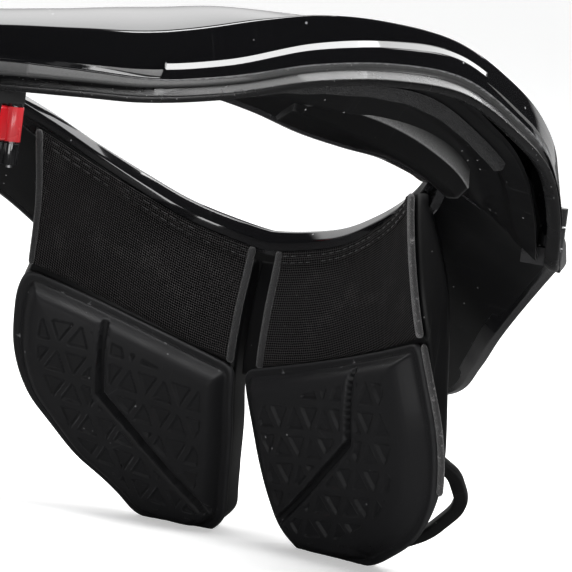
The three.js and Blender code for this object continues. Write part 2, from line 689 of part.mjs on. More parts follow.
// An ear of the left block above or below the lever, round its pin.
function leverEar(base, top) {
  const lug = uprightRod(LEVER_BARREL_RADIUS, leverPin.x, leverPin.y, base, top);
  const root = loft([-LEVER_PIN_ANGLE + 2.5, -LEVER_PIN_ANGLE + 0.9], (angle) => {
    const radius = neckRadius(angle);
    return [
      vec(radius - LEVER_PIN_INSET, base),
      vec(radius - LEVER_PIN_INSET, top),
      vec(radius, top),
      vec(radius, base),
    ];
  }, roundNeck);
  return join(lug, root);
}

const leftBlock = join(
  loft(steps(-blockSpan[0], -blockSpan[1], 4), blockOutline, roundNeck),
  leverEar(leverBase - FIT_GAP - LEVER_EAR_HEIGHT, leverBase - FIT_GAP),
  leverEar(leverTop + FIT_GAP, leverTop + FIT_GAP + LEVER_EAR_HEIGHT),
);
addPiece('closure_block_left', cut(leftBlock, leverRoom, leverBore), 'satin_plastic');

function leverOutline(angle) {
  const outside = neckRadius(angle) + BAND_WALL - BLOCK_WALL - FIT_GAP;
  return [
    vec(outside, leverBase),
    vec(outside, leverTop),
    vec(outside - LEVER_WALL + 1, leverTop),
    vec(outside - LEVER_WALL, leverTop - 1),
    vec(outside - LEVER_WALL, leverBase + 1),
    vec(outside - LEVER_WALL + 1, leverBase),
  ];
}

const leverBody = join(
  loft(steps(-LEVER_START_ANGLE, -LEVER_PIN_ANGLE + 0.6, 4), leverOutline, roundNeck),
  uprightRod(LEVER_BARREL_RADIUS, leverPin.x, leverPin.y, leverBase, leverTop),
);
addPiece('release_lever_left', cut(leverBody, leverBore), 'red_plastic');
addPiece('lever_pin_left', uprightRod(
  LEVER_PIN_RADIUS,
  leverPin.x,
  leverPin.y,
  leverBase - FIT_GAP - LEVER_EAR_HEIGHT,
  leverTop + FIT_GAP + LEVER_EAR_HEIGHT,
), 'steel');

// The chest surface, which the plates follow. proud lifts a point off it towards the wearer.
const readChest = tableReader(CHEST_TABLE, 'height');

function chestSurface(x, z) {
  const row = readChest(THREE.MathUtils.clamp(z / plateTop, 0, 1.15));
  const share = x / PLATE_HALF_WIDTH;
  const back = row.wrap * PLATE_HALF_WIDTH * share * share;
  return new THREE.Vector3(x, back - row.forward * NECK_HALF_DEPTH, z);
}

function onChest(x, z, proud) {
  const here = chestSurface(x, z);
  const across = chestSurface(x + 0.5, z).sub(here);
  const up = chestSurface(x, z + 0.5).sub(here);
  return here.addScaledVector(up.cross(across).normalize(), proud);
}

const readPlate = tableReader(PLATE_TABLE, 'row');
const readPlateWall = tableReader(PLATE_WALL_TABLE, 'row');

// A place on a plate: row counts down it, share runs from its inner edge to its outer edge, and
// margin keeps clear of both edges.
function plateSpot(row, share, margin = 0) {
  const at = readPlate(row);
  const inner = at.inner * PLATE_HALF_WIDTH + margin;
  const outer = at.outer * PLATE_HALF_WIDTH - margin;
  const bow = 4 * share * (1 - share) * at.sag;
  const height = (at.innerHeight + (at.outerHeight - at.innerHeight) * share - bow) * plateTop;
  return { x: inner + (outer - inner) * share, z: height };
}

const COLUMNS = 7;

// A slab that lies along the plate's rows, between two depths at each row and share.
function plateSlab(sign, rows, margin, lowAt, highAt) {
  const shares = steps(0, 1, COLUMNS);
  const outlineAt = (row) => [
    ...shares.map((share) => vec(share, lowAt(row, share))),
    ...shares.map((share) => vec(share, highAt(row, share))).reverse(),
  ];
  return loft(rows, outlineAt, (row, point) => {
    const spot = plateSpot(row, point.x, margin);
    const place = onChest(spot.x, spot.z, point.y);
    return new THREE.Vector3(-sign * place.x, place.y, place.z);
  });
}

// Room taken by the front half of the collar, from its underside up.
function collarRoomOutline(angle) {
  const at = collarAt(angle);
  const path = offsetPath(linerPath(angle, false), -FIT_GAP);
  const inside = neckRadius(angle) - FIT_GAP;
  const bandBase = at.rim - BAND_HEIGHT - FIT_GAP;
  const wallBase = Math.min(at.sill - FIT_GAP, bandBase - FIT_GAP);
  return [
    vec(inside, bandBase),
    vec(at.inner - FIT_GAP, bandBase),
    vec(at.inner - FIT_GAP, wallBase),
    vec(at.inner + SHELL_WALL, wallBase),
    ...path.slice(1),
    vec(at.outer + 2 * SHELL_OVERHANG, at.edge - FIT_GAP),
    vec(at.outer + 2 * SHELL_OVERHANG, FLOOR_CUT),
    vec(inside, FLOOR_CUT),
  ];
}

const collarRoom = loft(frontAngles, collarRoomOutline, roundNeck);
const belowFloor = block(
  farCorner.clone().negate(),
  new THREE.Vector3(FLOOR_CUT, FLOOR_CUT, 0),
);

function halfRows(from, to) {
  return steps(from, to, Math.round((to - from) * 2));
}

const plateRows = [0, ...PANEL_ROWS, ...halfRows(PAD_ROW, LAST_ROW)];

function plateDepth(row, share) {
  const wall = readPlateWall(row);
  const rounding = Math.max(0, Math.abs(share - 0.5) * 2 - 0.85) / 0.15;
  return -THREE.MathUtils.lerp(wall.inner, wall.outer, share) * PLATE_WALL * (1 - 0.18 * rounding);
}

function padFace(row, share) {
  const fromTop = (row - PAD_ROW) / 0.45;
  const fromBottom = (LAST_ROW - 0.5 - row) / 0.6;
  const fromSide = (0.5 - Math.abs(share - 0.5)) * 7;
  const inside = Math.min(1, fromTop, fromBottom, fromSide);
  return PAD_THICKNESS - PAD_BEVEL * (1 - Math.max(inside, 0));
}

// A bent channel cut into the face of a pad.
function grooveTool(sign) {
  const corners = GROOVE_TABLE.map(({ side, height }) => vec(side * PLATE_HALF_WIDTH, height * plateTop));
  const sides = [offsetPath(corners, GROOVE_WIDTH / 2), offsetPath(corners, -GROOVE_WIDTH / 2)];
  const floor = PAD_THICKNESS - GROOVE_DEPTH;
  const top = PAD_THICKNESS + GROOVE_DEPTH;
  const outlineAt = () => [vec(0, floor), vec(1, floor), vec(1, top), vec(0, top)];
  return loft([0, 0.5, 1, 1.5, 2], outlineAt, (place, point) => {
    const index = Math.min(Math.floor(place), 1);
    const edge = sides[point.x];
    const spot = edge[index].clone().lerp(edge[index + 1], place - index);
    const spotOnPad = onChest(spot.x, spot.y, point.y);
    return new THREE.Vector3(-sign * spotOnPad.x, spotOnPad.y, spotOnPad.z);
  });
}

// A strap loop: a bar that leaves the plate's edge, runs along it and comes back to it.
function strapLoop(sign) {
  const route = LOOP_TABLE.map(({ row, out, depth }) => {
    const spot = plateSpot(row, 1);
    const place = onChest(spot.x + out * PLATE_HALF_WIDTH, spot.z, -depth * PLATE_WALL);
    return new THREE.Vector3(-sign * place.x, place.y, place.z);
  });
  const half = LOOP_BAR / 2;
  const corner = half * 0.5;
  const section = new THREE.Shape([
    vec(-half, -corner), vec(-corner, -half), vec(corner, -half), vec(half, -corner),
    vec(half, corner), vec(corner, half), vec(-corner, half), vec(-half, corner),
  ]);
  return new THREE.ExtrudeGeometry(section, {
    steps: 3 * (route.length - 1),
    extrudePath: new THREE.CatmullRomCurve3(route, false, 'centripetal'),
  });
}

for (const [side, sign] of [['right', 1], ['left', -1]]) {
  const plate = cut(
    plateSlab(sign, plateRows, 0, plateDepth, () => 0),
    collarRoom,
    belowFloor,
  );
  addPiece(`chest_plate_${side}`, plate, 'satin_plastic');
  const panel = plateSlab(sign, PANEL_ROWS, PANEL_INSET, () => SEAT_GAP, () => SEAT_GAP + PANEL_WALL);
  addPiece(`mesh_panel_${side}`, cut(panel, collarRoom), 'mesh_cloth');
  const pad = plateSlab(sign, halfRows(PAD_ROW, LAST_ROW - 0.5), PAD_LIP, () => SEAT_GAP, padFace);
  addPiece(`chest_pad_${side}`, cut(pad, grooveTool(sign), belowFloor), 'pad_foam');
  const clearOfPlate = plateSlab(
    sign, plateRows, -FIT_GAP, (row, share) => plateDepth(row, share) - FIT_GAP, () => PAD_THICKNESS,
  );
  addPiece(`strap_loop_${side}`, cut(strapLoop(sign), clearOfPlate, belowFloor), 'satin_plastic');
}

// The dark strip in the channel between the plates.
const stripHeights = steps(0.47 * plateTop, 0.72 * plateTop, 6);
addPiece('centre_strip', loft(
  stripHeights,
  () => [
    vec(-STRIP_HALF_WIDTH, -2 - STRIP_WALL),
    vec(STRIP_HALF_WIDTH, -2 - STRIP_WALL),
    vec(STRIP_HALF_WIDTH, -2),
    vec(-STRIP_HALF_WIDTH, -2),
  ],
  (height, point) => onChest(point.x, height, point.y),
), 'satin_plastic');

// Spine strut, its bracket under the rear liner, and its pad.
const readStrut = tableReader(STRUT_TABLE, 'height');

function strutSlab(heights, margin, frontSide, backSide) {
  const shares = [-1, -0.5, 0, 0.5, 1];
  const outlineAt = (height) => {
    const at = readStrut(height / STRUT_TOP);
    const half = at.half * STRUT_HALF_WIDTH - margin;
    const curve = (share) => 2.2 * share * share;
    const back = at.back * STRUT_REACH;
    return [
      ...shares.map((share) => vec(share * half, back - frontSide - curve(share))),
      ...shares.map((share) => vec(share * half, back + backSide - curve(share))).reverse(),
    ];
  };
  return loft(heights, outlineAt, (height, point) => new THREE.Vector3(point.x, point.y, height));
}

const strutHeights = STRUT_TABLE.flatMap((row, index) => {
  const next = STRUT_TABLE[index + 1];
  return next ? steps(row.height, next.height, 3).slice(0, 3) : [row.height];
}).map((share) => share * (STRUT_TOP - BRACKET_HEIGHT / 2));
addPiece('thoracic_strut', strutSlab(strutHeights, 0, STRUT_WALL / 2, STRUT_WALL / 2), 'satin_plastic');
addPiece('strut_pad', strutSlab(
  steps(STRUT_PAD_BASE, STRUT_PAD_TOP, 8),
  STRUT_PAD_MARGIN,
  STRUT_WALL / 2 + STRUT_PAD_WALL,
  -STRUT_WALL / 2 - FIT_GAP,
), 'pad_foam');

const bracketHeart = block(
  new THREE.Vector3(-BRACKET_WIDTH / 2, STRUT_REACH - BRACKET_LENGTH / 2, STRUT_TOP - BRACKET_HEIGHT),
  new THREE.Vector3(BRACKET_WIDTH / 2, STRUT_REACH + BRACKET_LENGTH / 2, STRUT_TOP + 2 * BRACKET_HEIGHT),
);
const strutSocket = strutSlab(
  [0.8 * STRUT_TOP, STRUT_TOP - BRACKET_HEIGHT / 2 + FIT_GAP],
  -FIT_GAP,
  STRUT_WALL / 2 + FIT_GAP,
  STRUT_WALL / 2 + FIT_GAP,
);
addPiece('strut_bracket', cut(bracketHeart, strutSocket, aboveRearLiner), 'satin_plastic');

// The origin lies on the floor, half-way between the rearmost and the foremost point.
const rearReach = COLLAR_TABLE[0].reach * COLLAR_HALF_WIDTH + COLLAR_TABLE[0].overhang * SHELL_OVERHANG;
const foremost = COLLAR_TABLE.at(-1);
const frontReach = foremost.reach * COLLAR_HALF_WIDTH + foremost.overhang * SHELL_OVERHANG;
brace.position.set(0, (frontReach - rearReach) / 2, 0);

export default brace;
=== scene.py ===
# A motocross neck brace, seen from behind the wearer's right shoulder. Sizes are in
# millimetres unless a name says otherwise, and are turned to metres where meshes are made.
import math
from types import SimpleNamespace

import bmesh
import bpy
import numpy as np
from mathutils import Matrix, Vector


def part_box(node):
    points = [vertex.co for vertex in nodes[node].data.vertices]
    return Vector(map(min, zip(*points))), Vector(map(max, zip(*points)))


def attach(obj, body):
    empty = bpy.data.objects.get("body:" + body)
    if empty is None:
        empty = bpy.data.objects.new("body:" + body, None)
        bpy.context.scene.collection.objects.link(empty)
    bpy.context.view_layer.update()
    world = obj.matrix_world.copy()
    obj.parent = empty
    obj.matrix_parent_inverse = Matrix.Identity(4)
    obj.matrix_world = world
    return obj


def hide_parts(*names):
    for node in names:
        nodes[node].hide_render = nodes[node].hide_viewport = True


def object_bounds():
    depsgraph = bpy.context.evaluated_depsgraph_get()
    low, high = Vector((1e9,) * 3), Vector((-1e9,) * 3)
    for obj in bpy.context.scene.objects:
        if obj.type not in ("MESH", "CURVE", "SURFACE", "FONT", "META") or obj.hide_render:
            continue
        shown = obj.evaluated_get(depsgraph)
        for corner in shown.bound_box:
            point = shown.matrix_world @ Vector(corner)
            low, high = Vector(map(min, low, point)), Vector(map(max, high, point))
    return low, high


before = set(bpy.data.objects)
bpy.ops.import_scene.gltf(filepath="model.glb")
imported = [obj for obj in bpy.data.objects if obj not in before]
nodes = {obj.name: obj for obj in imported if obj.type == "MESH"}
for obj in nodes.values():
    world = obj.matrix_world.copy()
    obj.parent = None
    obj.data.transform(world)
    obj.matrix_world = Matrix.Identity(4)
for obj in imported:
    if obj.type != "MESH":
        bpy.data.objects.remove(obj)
cad_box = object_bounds()
scene = bpy.context.scene
MM = 0.001

# The studio: a long lens a little above the collar, a pale floor, white paper behind and
# overhead, and a dark room on the camera's side, which keeps the gloss mouldings black.
CAMERA_PLACE = Vector((-0.69617, 1.21143, 0.25034))
CAMERA_RIGHT = Vector((-0.8694, -0.47804, 0.12498)).normalized()
CAMERA_VIEW = Vector((0.46669, -0.87754, -0.11011)).normalized()
SENSOR_WIDTH = 36
LENS = 277.96
FLOOR_SIZE = 60.0

scene.view_settings.view_transform = "Standard"
camera = bpy.data.objects.new("camera", bpy.data.cameras.new("camera"))
scene.collection.objects.link(camera)
camera.data.sensor_width = SENSOR_WIDTH
camera.data.lens = LENS
camera_up = CAMERA_RIGHT.cross(CAMERA_VIEW)
camera_axes = Matrix((CAMERA_RIGHT, camera_up, -CAMERA_VIEW)).transposed()
camera.matrix_world = Matrix.Translation(CAMERA_PLACE) @ camera_axes.to_4x4()
scene.camera = camera


def new_material(name, base, roughness, coat=0.0):
    """A material with a Principled shader, its node tree, and that shader."""
    material = bpy.data.materials.new(name)
    material.use_nodes = True
    tree = material.node_tree
    shader = tree.nodes["Principled BSDF"]
    shader.inputs["Base Color"].default_value = (*base, 1)
    shader.inputs["Roughness"].default_value = roughness
    shader.inputs["Coat Weight"].default_value = coat
    return material, tree, shader


def wire(tree, *pairs):
    """Joins sockets, given as pairs of an output and an input."""
    for source, target in pairs:
        tree.links.new(source, target)


def new_node(tree, kind, settings=None, **values):
    """Adds a node, with settings on the node itself and values on its inputs by position."""
    node = tree.nodes.new(kind)
    for key, value in (settings or {}).items():
        setattr(node, key, value)
    for key, value in values.items():
        node.inputs[int(key[1:])].default_value = value
    return node


PAPER_TILT = -28
PAPER_EDGE = (-0.06, 0.08)
PAPER_REACH = 33
PAPER_END_BLUR = 0.05
PAPER_RISE = (0.15, 0.82)
PAPER_LIGHT = (0.8, 4.6)
ROOM_LIGHT = 0.015


def light_the_world():
    """White all round to the camera. What the gloss reflects is white behind and overhead only."""
    world = bpy.data.worlds.new("studio")
    world.use_nodes = True
    scene.world = world
    tree = world.node_tree
    tree.nodes.clear()
    place = new_node(tree, "ShaderNodeTexCoord")
    paper_side = (CAMERA_VIEW * Vector((1, 1, 0))).normalized() * math.cos(math.radians(PAPER_TILT))
    paper_side.z = math.sin(math.radians(PAPER_TILT))
    toward_paper = new_node(tree, "ShaderNodeVectorMath", {"operation": "DOT_PRODUCT"}, _1=paper_side)
    fade = new_node(tree, "ShaderNodeMapRange", {"interpolation_type": "SMOOTHSTEP"},
                    _1=PAPER_EDGE[0], _2=PAPER_EDGE[1], _3=0.0, _4=1.0)
    across = Vector((CAMERA_RIGHT.x, CAMERA_RIGHT.y, 0)).normalized()
    straight = Vector((CAMERA_VIEW.x, CAMERA_VIEW.y, 0)).normalized()
    paper_end = straight * math.sin(math.radians(PAPER_REACH)) - across * math.cos(math.radians(PAPER_REACH))
    toward_end = new_node(tree, "ShaderNodeVectorMath", {"operation": "DOT_PRODUCT"}, _1=paper_end)
    end_fade = new_node(tree, "ShaderNodeMapRange", {"interpolation_type": "SMOOTHSTEP"},
                        _1=-PAPER_END_BLUR, _2=PAPER_END_BLUR, _3=0.0, _4=1.0)
    both_fades = new_node(tree, "ShaderNodeMath", {"operation": "MULTIPLY"})
    split = new_node(tree, "ShaderNodeSeparateXYZ")
    brighter_up = new_node(tree, "ShaderNodeMapRange", _1=PAPER_RISE[0], _2=PAPER_RISE[1],
                           _3=PAPER_LIGHT[0], _4=PAPER_LIGHT[1])
    paper = new_node(tree, "ShaderNodeMath", {"operation": "MULTIPLY"})
    room = new_node(tree, "ShaderNodeMath", {"operation": "ADD"}, _1=ROOM_LIGHT)
    path = new_node(tree, "ShaderNodeLightPath")
    seen = new_node(tree, "ShaderNodeMix", {"data_type": "FLOAT"}, _3=1.0)
    glow = new_node(tree, "ShaderNodeBackground")
    out = new_node(tree, "ShaderNodeOutputWorld")
    wire(tree, (place.outputs["Generated"], toward_paper.inputs[0]),
         (toward_paper.outputs["Value"], fade.inputs["Value"]),
         (place.outputs["Generated"], split.inputs[0]), (split.outputs[2], brighter_up.inputs[0]),
         (place.outputs["Generated"], toward_end.inputs[0]),
         (toward_end.outputs["Value"], end_fade.inputs["Value"]),
         (fade.outputs[0], both_fades.inputs[0]), (end_fade.outputs[0], both_fades.inputs[1]),
         (both_fades.outputs[0], paper.inputs[0]), (brighter_up.outputs[0], paper.inputs[1]),
         (paper.outputs[0], room.inputs[0]), (path.outputs["Is Camera Ray"], seen.inputs[0]),
         (room.outputs[0], seen.inputs[2]),
         (seen.outputs[0], glow.inputs["Strength"]),
         (glow.outputs[0], out.inputs["Surface"]))


light_the_world()


def area_light(name, position, target, along, width, height, power):
    """A soft panel that looks from a position to a target in metres, its width laid along a direction."""
    lamp = bpy.data.lights.new(name, "AREA")
    lamp.shape = "RECTANGLE"
    lamp.size = width
    lamp.size_y = height
    lamp.energy = power
    panel = bpy.data.objects.new(name, lamp)
    scene.collection.objects.link(panel)
    back = (Vector(position) - Vector(target)).normalized()
    side = (Vector(along) - Vector(along).dot(back) * back).normalized()
    turn = Matrix((side, back.cross(side), back)).transposed()
    panel.matrix_world = Matrix.Translation(position) @ turn.to_4x4()
    return panel


# Name, place, target, direction of the width, width and height in metres, and power in watts.
SOFT_LIGHTS = [
    ("overhead_strip", (-0.193, 0.042, 1.3), (-0.193, 0.032, 0.15), CAMERA_RIGHT, 0.84, 0.36, 12.6),
    ("side_strip", (-0.5, -0.877, 1.3), (-0.03, -0.03, 0.15), (-0.2, -0.98, 0), 1.5, 0.56, 21),
    ("near_strip", (-1.1, -0.49, 1.3), (-0.03, -0.03, 0.15), (0.47, -0.88, 0), 0.6, 0.5, 5),
    ("low_fill", (-0.5, 1.3, 0.16), (-0.03, -0.03, 0.1), CAMERA_RIGHT, 1.5, 0.26, 8),
]
for soft_light in SOFT_LIGHTS:
    area_light(*soft_light)

FLOOR_LIFT = 0.45
FLOOR_TONE = (0.86, 0.86, 0.86)
FLOOR_REFLECTED = (0.06, 0.06, 0.06)


def pale_floor():
    """Matt white paper. It is bright to the camera, and dark in what the mouldings reflect."""
    material, tree, shader = new_material("pale_floor", FLOOR_TONE, 0.8)
    shader.inputs["Emission Color"].default_value = (1, 1, 1, 1)
    path = new_node(tree, "ShaderNodeLightPath")
    lift = new_node(tree, "ShaderNodeMath", {"operation": "MULTIPLY"}, _1=FLOOR_LIFT)
    tone = new_node(tree, "ShaderNodeMix", {"data_type": "RGBA"}, _6=(*FLOOR_TONE, 1),
                    _7=(*FLOOR_REFLECTED, 1))
    wire(tree, (path.outputs["Is Camera Ray"], lift.inputs[0]),
         (lift.outputs[0], shader.inputs["Emission Strength"]),
         (path.outputs["Is Glossy Ray"], tone.inputs[0]), (tone.outputs[2], shader.inputs["Base Color"]))
    return material


half_floor = FLOOR_SIZE / 2
floor_mesh = bpy.data.meshes.new("floor")
floor_mesh.from_pydata([(-half_floor, -half_floor, 0), (half_floor, -half_floor, 0),
                        (half_floor, half_floor, 0), (-half_floor, half_floor, 0)], [], [(0, 1, 2, 3)])
floor = bpy.data.objects.new("floor", floor_mesh)
scene.collection.objects.link(floor)
floor_mesh.materials.append(pale_floor())

# The rear half's shell: one glossy black injection moulding that runs round the neck from
# joint to joint. Its outer wall has a step with a narrow bright ledge from the shoulders
# forward, and its lip ends on the rubber trim that is pushed on below it.
NECK_HALF_WIDTH = 90
NECK_HALF_DEPTH = 86
COLLAR_HALF_WIDTH = 140
COLLAR_TOP = 188
SHELL_OVERHANG = 3.8
LINER_RECESS = 5
BAND_WALL = 3
FIT_GAP = 0.3
CROWN_PLACE = 0.62
PARTING_FORWARD = 22
PARTING_ANGLE = 101
PARTING_SHARE = 21
TRIM_HEIGHT = 6
LEDGE_START = 30.3
LEDGE_END = 79

# Angle from the rear, reach, overhang, edge, crown, rim, sill and underside recess. Reach is a
# share of COLLAR_HALF_WIDTH, overhang of SHELL_OVERHANG, recess of LINER_RECESS, and the four
# heights are shares of COLLAR_TOP.
COLLAR_ROWS = [
    (0, 0.975, 1, 0.823, 0.944, 0.902, 0.84, 0),
    (14, 0.985, 1, 0.834, 0.96, 0.912, 0.843, 0),
    (22, 0.995, 1, 0.8395, 0.973, 0.926, 0.845, 0),
    (28.5, 1, 1, 0.8435, 0.982, 0.9345, 0.848, 0.2),
    (38, 1, 1, 0.8635, 0.997, 0.944, 0.848, 0.8),
    (48, 1, 1, 0.896, 1, 0.944, 0.83, 1),
    (58, 1, 1, 0.9085, 0.997, 0.928, 0.803, 1),
    (68, 1, 1, 0.896, 0.981, 0.904, 0.785, 1),
    (78, 1, 1, 0.838, 0.936, 0.864, 0.771, 1),
    (88, 0.997, 1, 0.763, 0.875, 0.824, 0.747, 0.85),
    (94, 0.995, 0.9, 0.684, 0.83, 0.809, 0.731, 0.5),
    (99, 0.98, 0.6, 0.622, 0.801, 0.795, 0.738, 0.2),
    (106, 0.967, 0.3, 0.614, 0.785, 0.782, 0.727, 0),
    (116, 0.962, 0.1, 0.612, 0.758, 0.761, 0.72, 0),
    (128, 0.937, 0.1, 0.543, 0.689, 0.718, 0.662, 0),
    (140, 0.929, 0.1, 0.441, 0.601, 0.665, 0.617, 0),
    (150, 0.98, 0.1, 0.367, 0.537, 0.625, 0.58, 0),
    (160, 1.06, 0.1, 0.298, 0.473, 0.59, 0.548, 0),
    (170, 1.08, 0.1, 0.269, 0.436, 0.569, 0.527, 0),
    (180, 1.08, 0.1, 0.261, 0.426, 0.557, 0.516, 0),
]
REAR_REACH = COLLAR_ROWS[0][1] * COLLAR_HALF_WIDTH + COLLAR_ROWS[0][2] * SHELL_OVERHANG
ORIGIN_FORWARD = cad_box[1].y / MM - REAR_REACH


def table_reader(rows, level_ends=False):
    """Reads a table smoothly between its rows, whose first column says where each row is."""
    table = np.array(rows, float)
    places, values = table[:, 0], table[:, 1:]
    if level_ends:
        before = (2 * places[0] - places[1], values[1])
        after = (2 * places[-1] - places[-2], values[-1])
    else:
        before = (places[1], values[1])
        after = (places[-2], values[-2])
    all_places = np.concatenate(([before[0]], places, [after[0]]))
    all_values = np.vstack((before[1], values, after[1]))

    def read(place):
        place = np.clip(np.asarray(place, float), places[0], places[-1])
        upper = np.clip(np.searchsorted(places, place, side="right"), 1, len(places) - 1) + 1
        t_before, t_low, t_high, t_after = (all_places[upper + step] for step in (-2, -1, 0, 1))
        share = (place - t_low) / (t_high - t_low)
        weight_before = 0.5 * (t_high - t_low) / (t_low - t_before)
        weight_after = 0.5 * (t_high - t_low) / (t_after - t_high)
        square, cube = share ** 2, share ** 3
        factors = (
            -weight_before * cube + 2 * weight_before * square - weight_before * share,
            (1 + weight_before) * cube - (1.5 + 2 * weight_before) * square
            + (weight_before - 0.5) * share + 1,
            -(1 + weight_after) * cube + (1.5 + weight_after) * square + 0.5 * share,
            weight_after * (cube - square),
        )
        mixed = sum(factor[..., None] * all_values[upper + step]
                    for factor, step in zip(factors, (-2, -1, 0, 1)))
        return np.moveaxis(mixed, -1, 0)

    return read


read_collar = table_reader(COLLAR_ROWS, level_ends=True)


def neck_radius(angle):
    turn = np.radians(angle)
    return 1 / np.hypot(np.sin(turn) / NECK_HALF_WIDTH, np.cos(turn) / NECK_HALF_DEPTH)


def collar_at(angle):
    """The collar's sizes at angles round the neck, from the rear (0) to the front (180)."""
    fold = np.abs(angle)
    fold = np.where(fold > 180, 360 - fold, fold)
    reach, overhang, edge, crown, rim, sill, recess = read_collar(fold)
    return SimpleNamespace(
        fold=fold, inner=neck_radius(angle) + BAND_WALL + FIT_GAP, outer=reach * COLLAR_HALF_WIDTH,
        overhang=overhang * SHELL_OVERHANG, edge=edge * COLLAR_TOP, crown=crown * COLLAR_TOP,
        rim=rim * COLLAR_TOP, sill=sill * COLLAR_TOP, recess=recess * LINER_RECESS,
    )


def ease(value, low, high):
    """0 below low, 1 above high and a smooth rise between them."""
    share = np.clip((value - low) / (high - low), 0, 1)
    return share * share * (3 - 2 * share)


def round_neck(angle, radius, height):
    """A point round the neck in metres. Positive angles go over the wearer's right side."""
    turn = np.radians(angle)
    across = -np.sin(turn) * radius
    back = np.cos(turn) * radius + ORIGIN_FORWARD
    return np.stack(np.broadcast_arrays(across, back, height), -1) * MM


def to_parting(angle, radius, depth, start, end):
    """Bends the last stretch of a half's angles so that its end lies flat on the parting."""
    fold = np.abs(angle)
    flat = 90 + np.degrees(np.arcsin(depth / radius))
    return np.sign(angle) * (fold + ease(fold, start, end) * (flat - PARTING_ANGLE))


def corners(*points):
    """Corner points of a section at many stations: (radius, height) pairs to one array."""
    stations = [np.broadcast_arrays(*(np.atleast_1d(value) for value in point)) for point in points]
    return np.stack([np.stack(pair, -1) for pair in stations], 1)


def rounded(section, cuts, steps):
    """Rounds each corner of closed sections, from as far before and after it as cuts says."""
    count = section.shape[1]
    pieces = []
    for index in range(count):
        corner = section[:, index]
        if cuts[index] == 0:
            pieces.append(corner[:, None])
            continue
        back = section[:, index - 1] - corner
        ahead = section[:, (index + 1) % count] - corner
        back_length = np.linalg.norm(back, axis=1) + 1e-9
        ahead_length = np.linalg.norm(ahead, axis=1) + 1e-9
        reach = np.minimum(cuts[index], 0.46 * np.minimum(back_length, ahead_length))
        start = corner + back * (reach / back_length)[:, None]
        end = corner + ahead * (reach / ahead_length)[:, None]
        for share in np.linspace(0, 1, steps + 1):
            bend = (1 - share) ** 2 * start + 2 * share * (1 - share) * corner + share ** 2 * end
            pieces.append(bend[:, None])
    return np.concatenate(pieces, 1)


def through_three(first, middle, last, count):
    """A smooth line through three points at many stations, as count points for each half."""
    out = []
    for a, b, c, d in ((first, first, middle, last), (first, middle, last, last)):
        start_slope, end_slope = (c - a) / 2, (d - b) / 2
        for share in np.arange(count) / count:
            out.append((2 * b - 2 * c + start_slope + end_slope) * share ** 3
                       + (3 * c - 3 * b - 2 * start_slope - end_slope) * share ** 2
                       + start_slope * share + b)
    return out + [last]


def settle(piece, sharp_angle):
    """Joins doubled points, turns the faces outwards and shades them smooth but for sharp edges."""
    mesh = piece.data
    work = bmesh.new()
    work.from_mesh(mesh)
    bmesh.ops.remove_doubles(work, verts=work.verts, dist=2e-6)
    bmesh.ops.recalc_face_normals(work, faces=work.faces)
    if work.calc_volume(signed=True) < 0:
        bmesh.ops.reverse_faces(work, faces=work.faces)
    work.to_mesh(mesh)
    work.free()
    mesh.shade_smooth()
    mesh.set_sharp_from_angle(angle=math.radians(sharp_angle))


def make_mesh(name, points, faces, sharp_angle):
    """A shaded mesh object from points in metres."""
    mesh = bpy.data.meshes.new(name)
    mesh.from_pydata([tuple(point) for point in points], [], faces)
    piece = bpy.data.objects.new(name, mesh)
    scene.collection.objects.link(piece)
    settle(piece, sharp_angle)
    return piece


def skin(name, rings, sharp_angle=35):
    """Skins closed rings of points that stand one after another, and fills the two end rings."""
    count, size = rings.shape[:2]
    faces = []
    for station in range(count - 1):
        here, there = station * size, (station + 1) * size
        faces += [(here + i, here + (i + 1) % size, there + (i + 1) % size, there + i) for i in range(size)]
    faces.append(tuple(range(size))[::-1])
    faces.append(tuple((count - 1) * size + i for i in range(size)))
    return make_mesh(name, rings.reshape(-1, 3), faces, sharp_angle)


# Angle from the rear, how far the shoulder lies below the crown, how far the lip stands above
# the trim, and how much further out than its usual place the crown lies.
SHOULDER_ROWS = [
    (0, 4.6, 2.4, -0.06), (14, 5.0, 1.9, -0.08), (20, 5.6, 1.4, -0.12), (26, 6.1, 0.7, -0.16),
    (31, 5.8, 0, -0.14), (36, 4.6, 0, -0.06), (42, 1.6, 0, 0.1), (48, -1.2, 0, 0.2),
    (58, -1.8, 0, 0.24), (68, -0.8, 0, 0.22), (78, 0.6, 0, 0.2), (88, 1.0, 0, 0.18),
    (96, 2.0, 0, 0.15), (104, 6, 0, 0), (112, 9, 0, 0), (180, 9, 0, 0),
]
SHOULDER_INSET = 3.2
SHELL_END_HEIGHT = 6.5

# Angle from the rear, and how far the ledge lies above the lip, in mm.
LEDGE_ROWS = [(30, 2.9), (38, 3.2), (47, 4.2), (60, 4.7), (70, 5.3), (80, 5.3)]
read_ledge = table_reader(LEDGE_ROWS)
read_shoulder = table_reader(SHOULDER_ROWS)


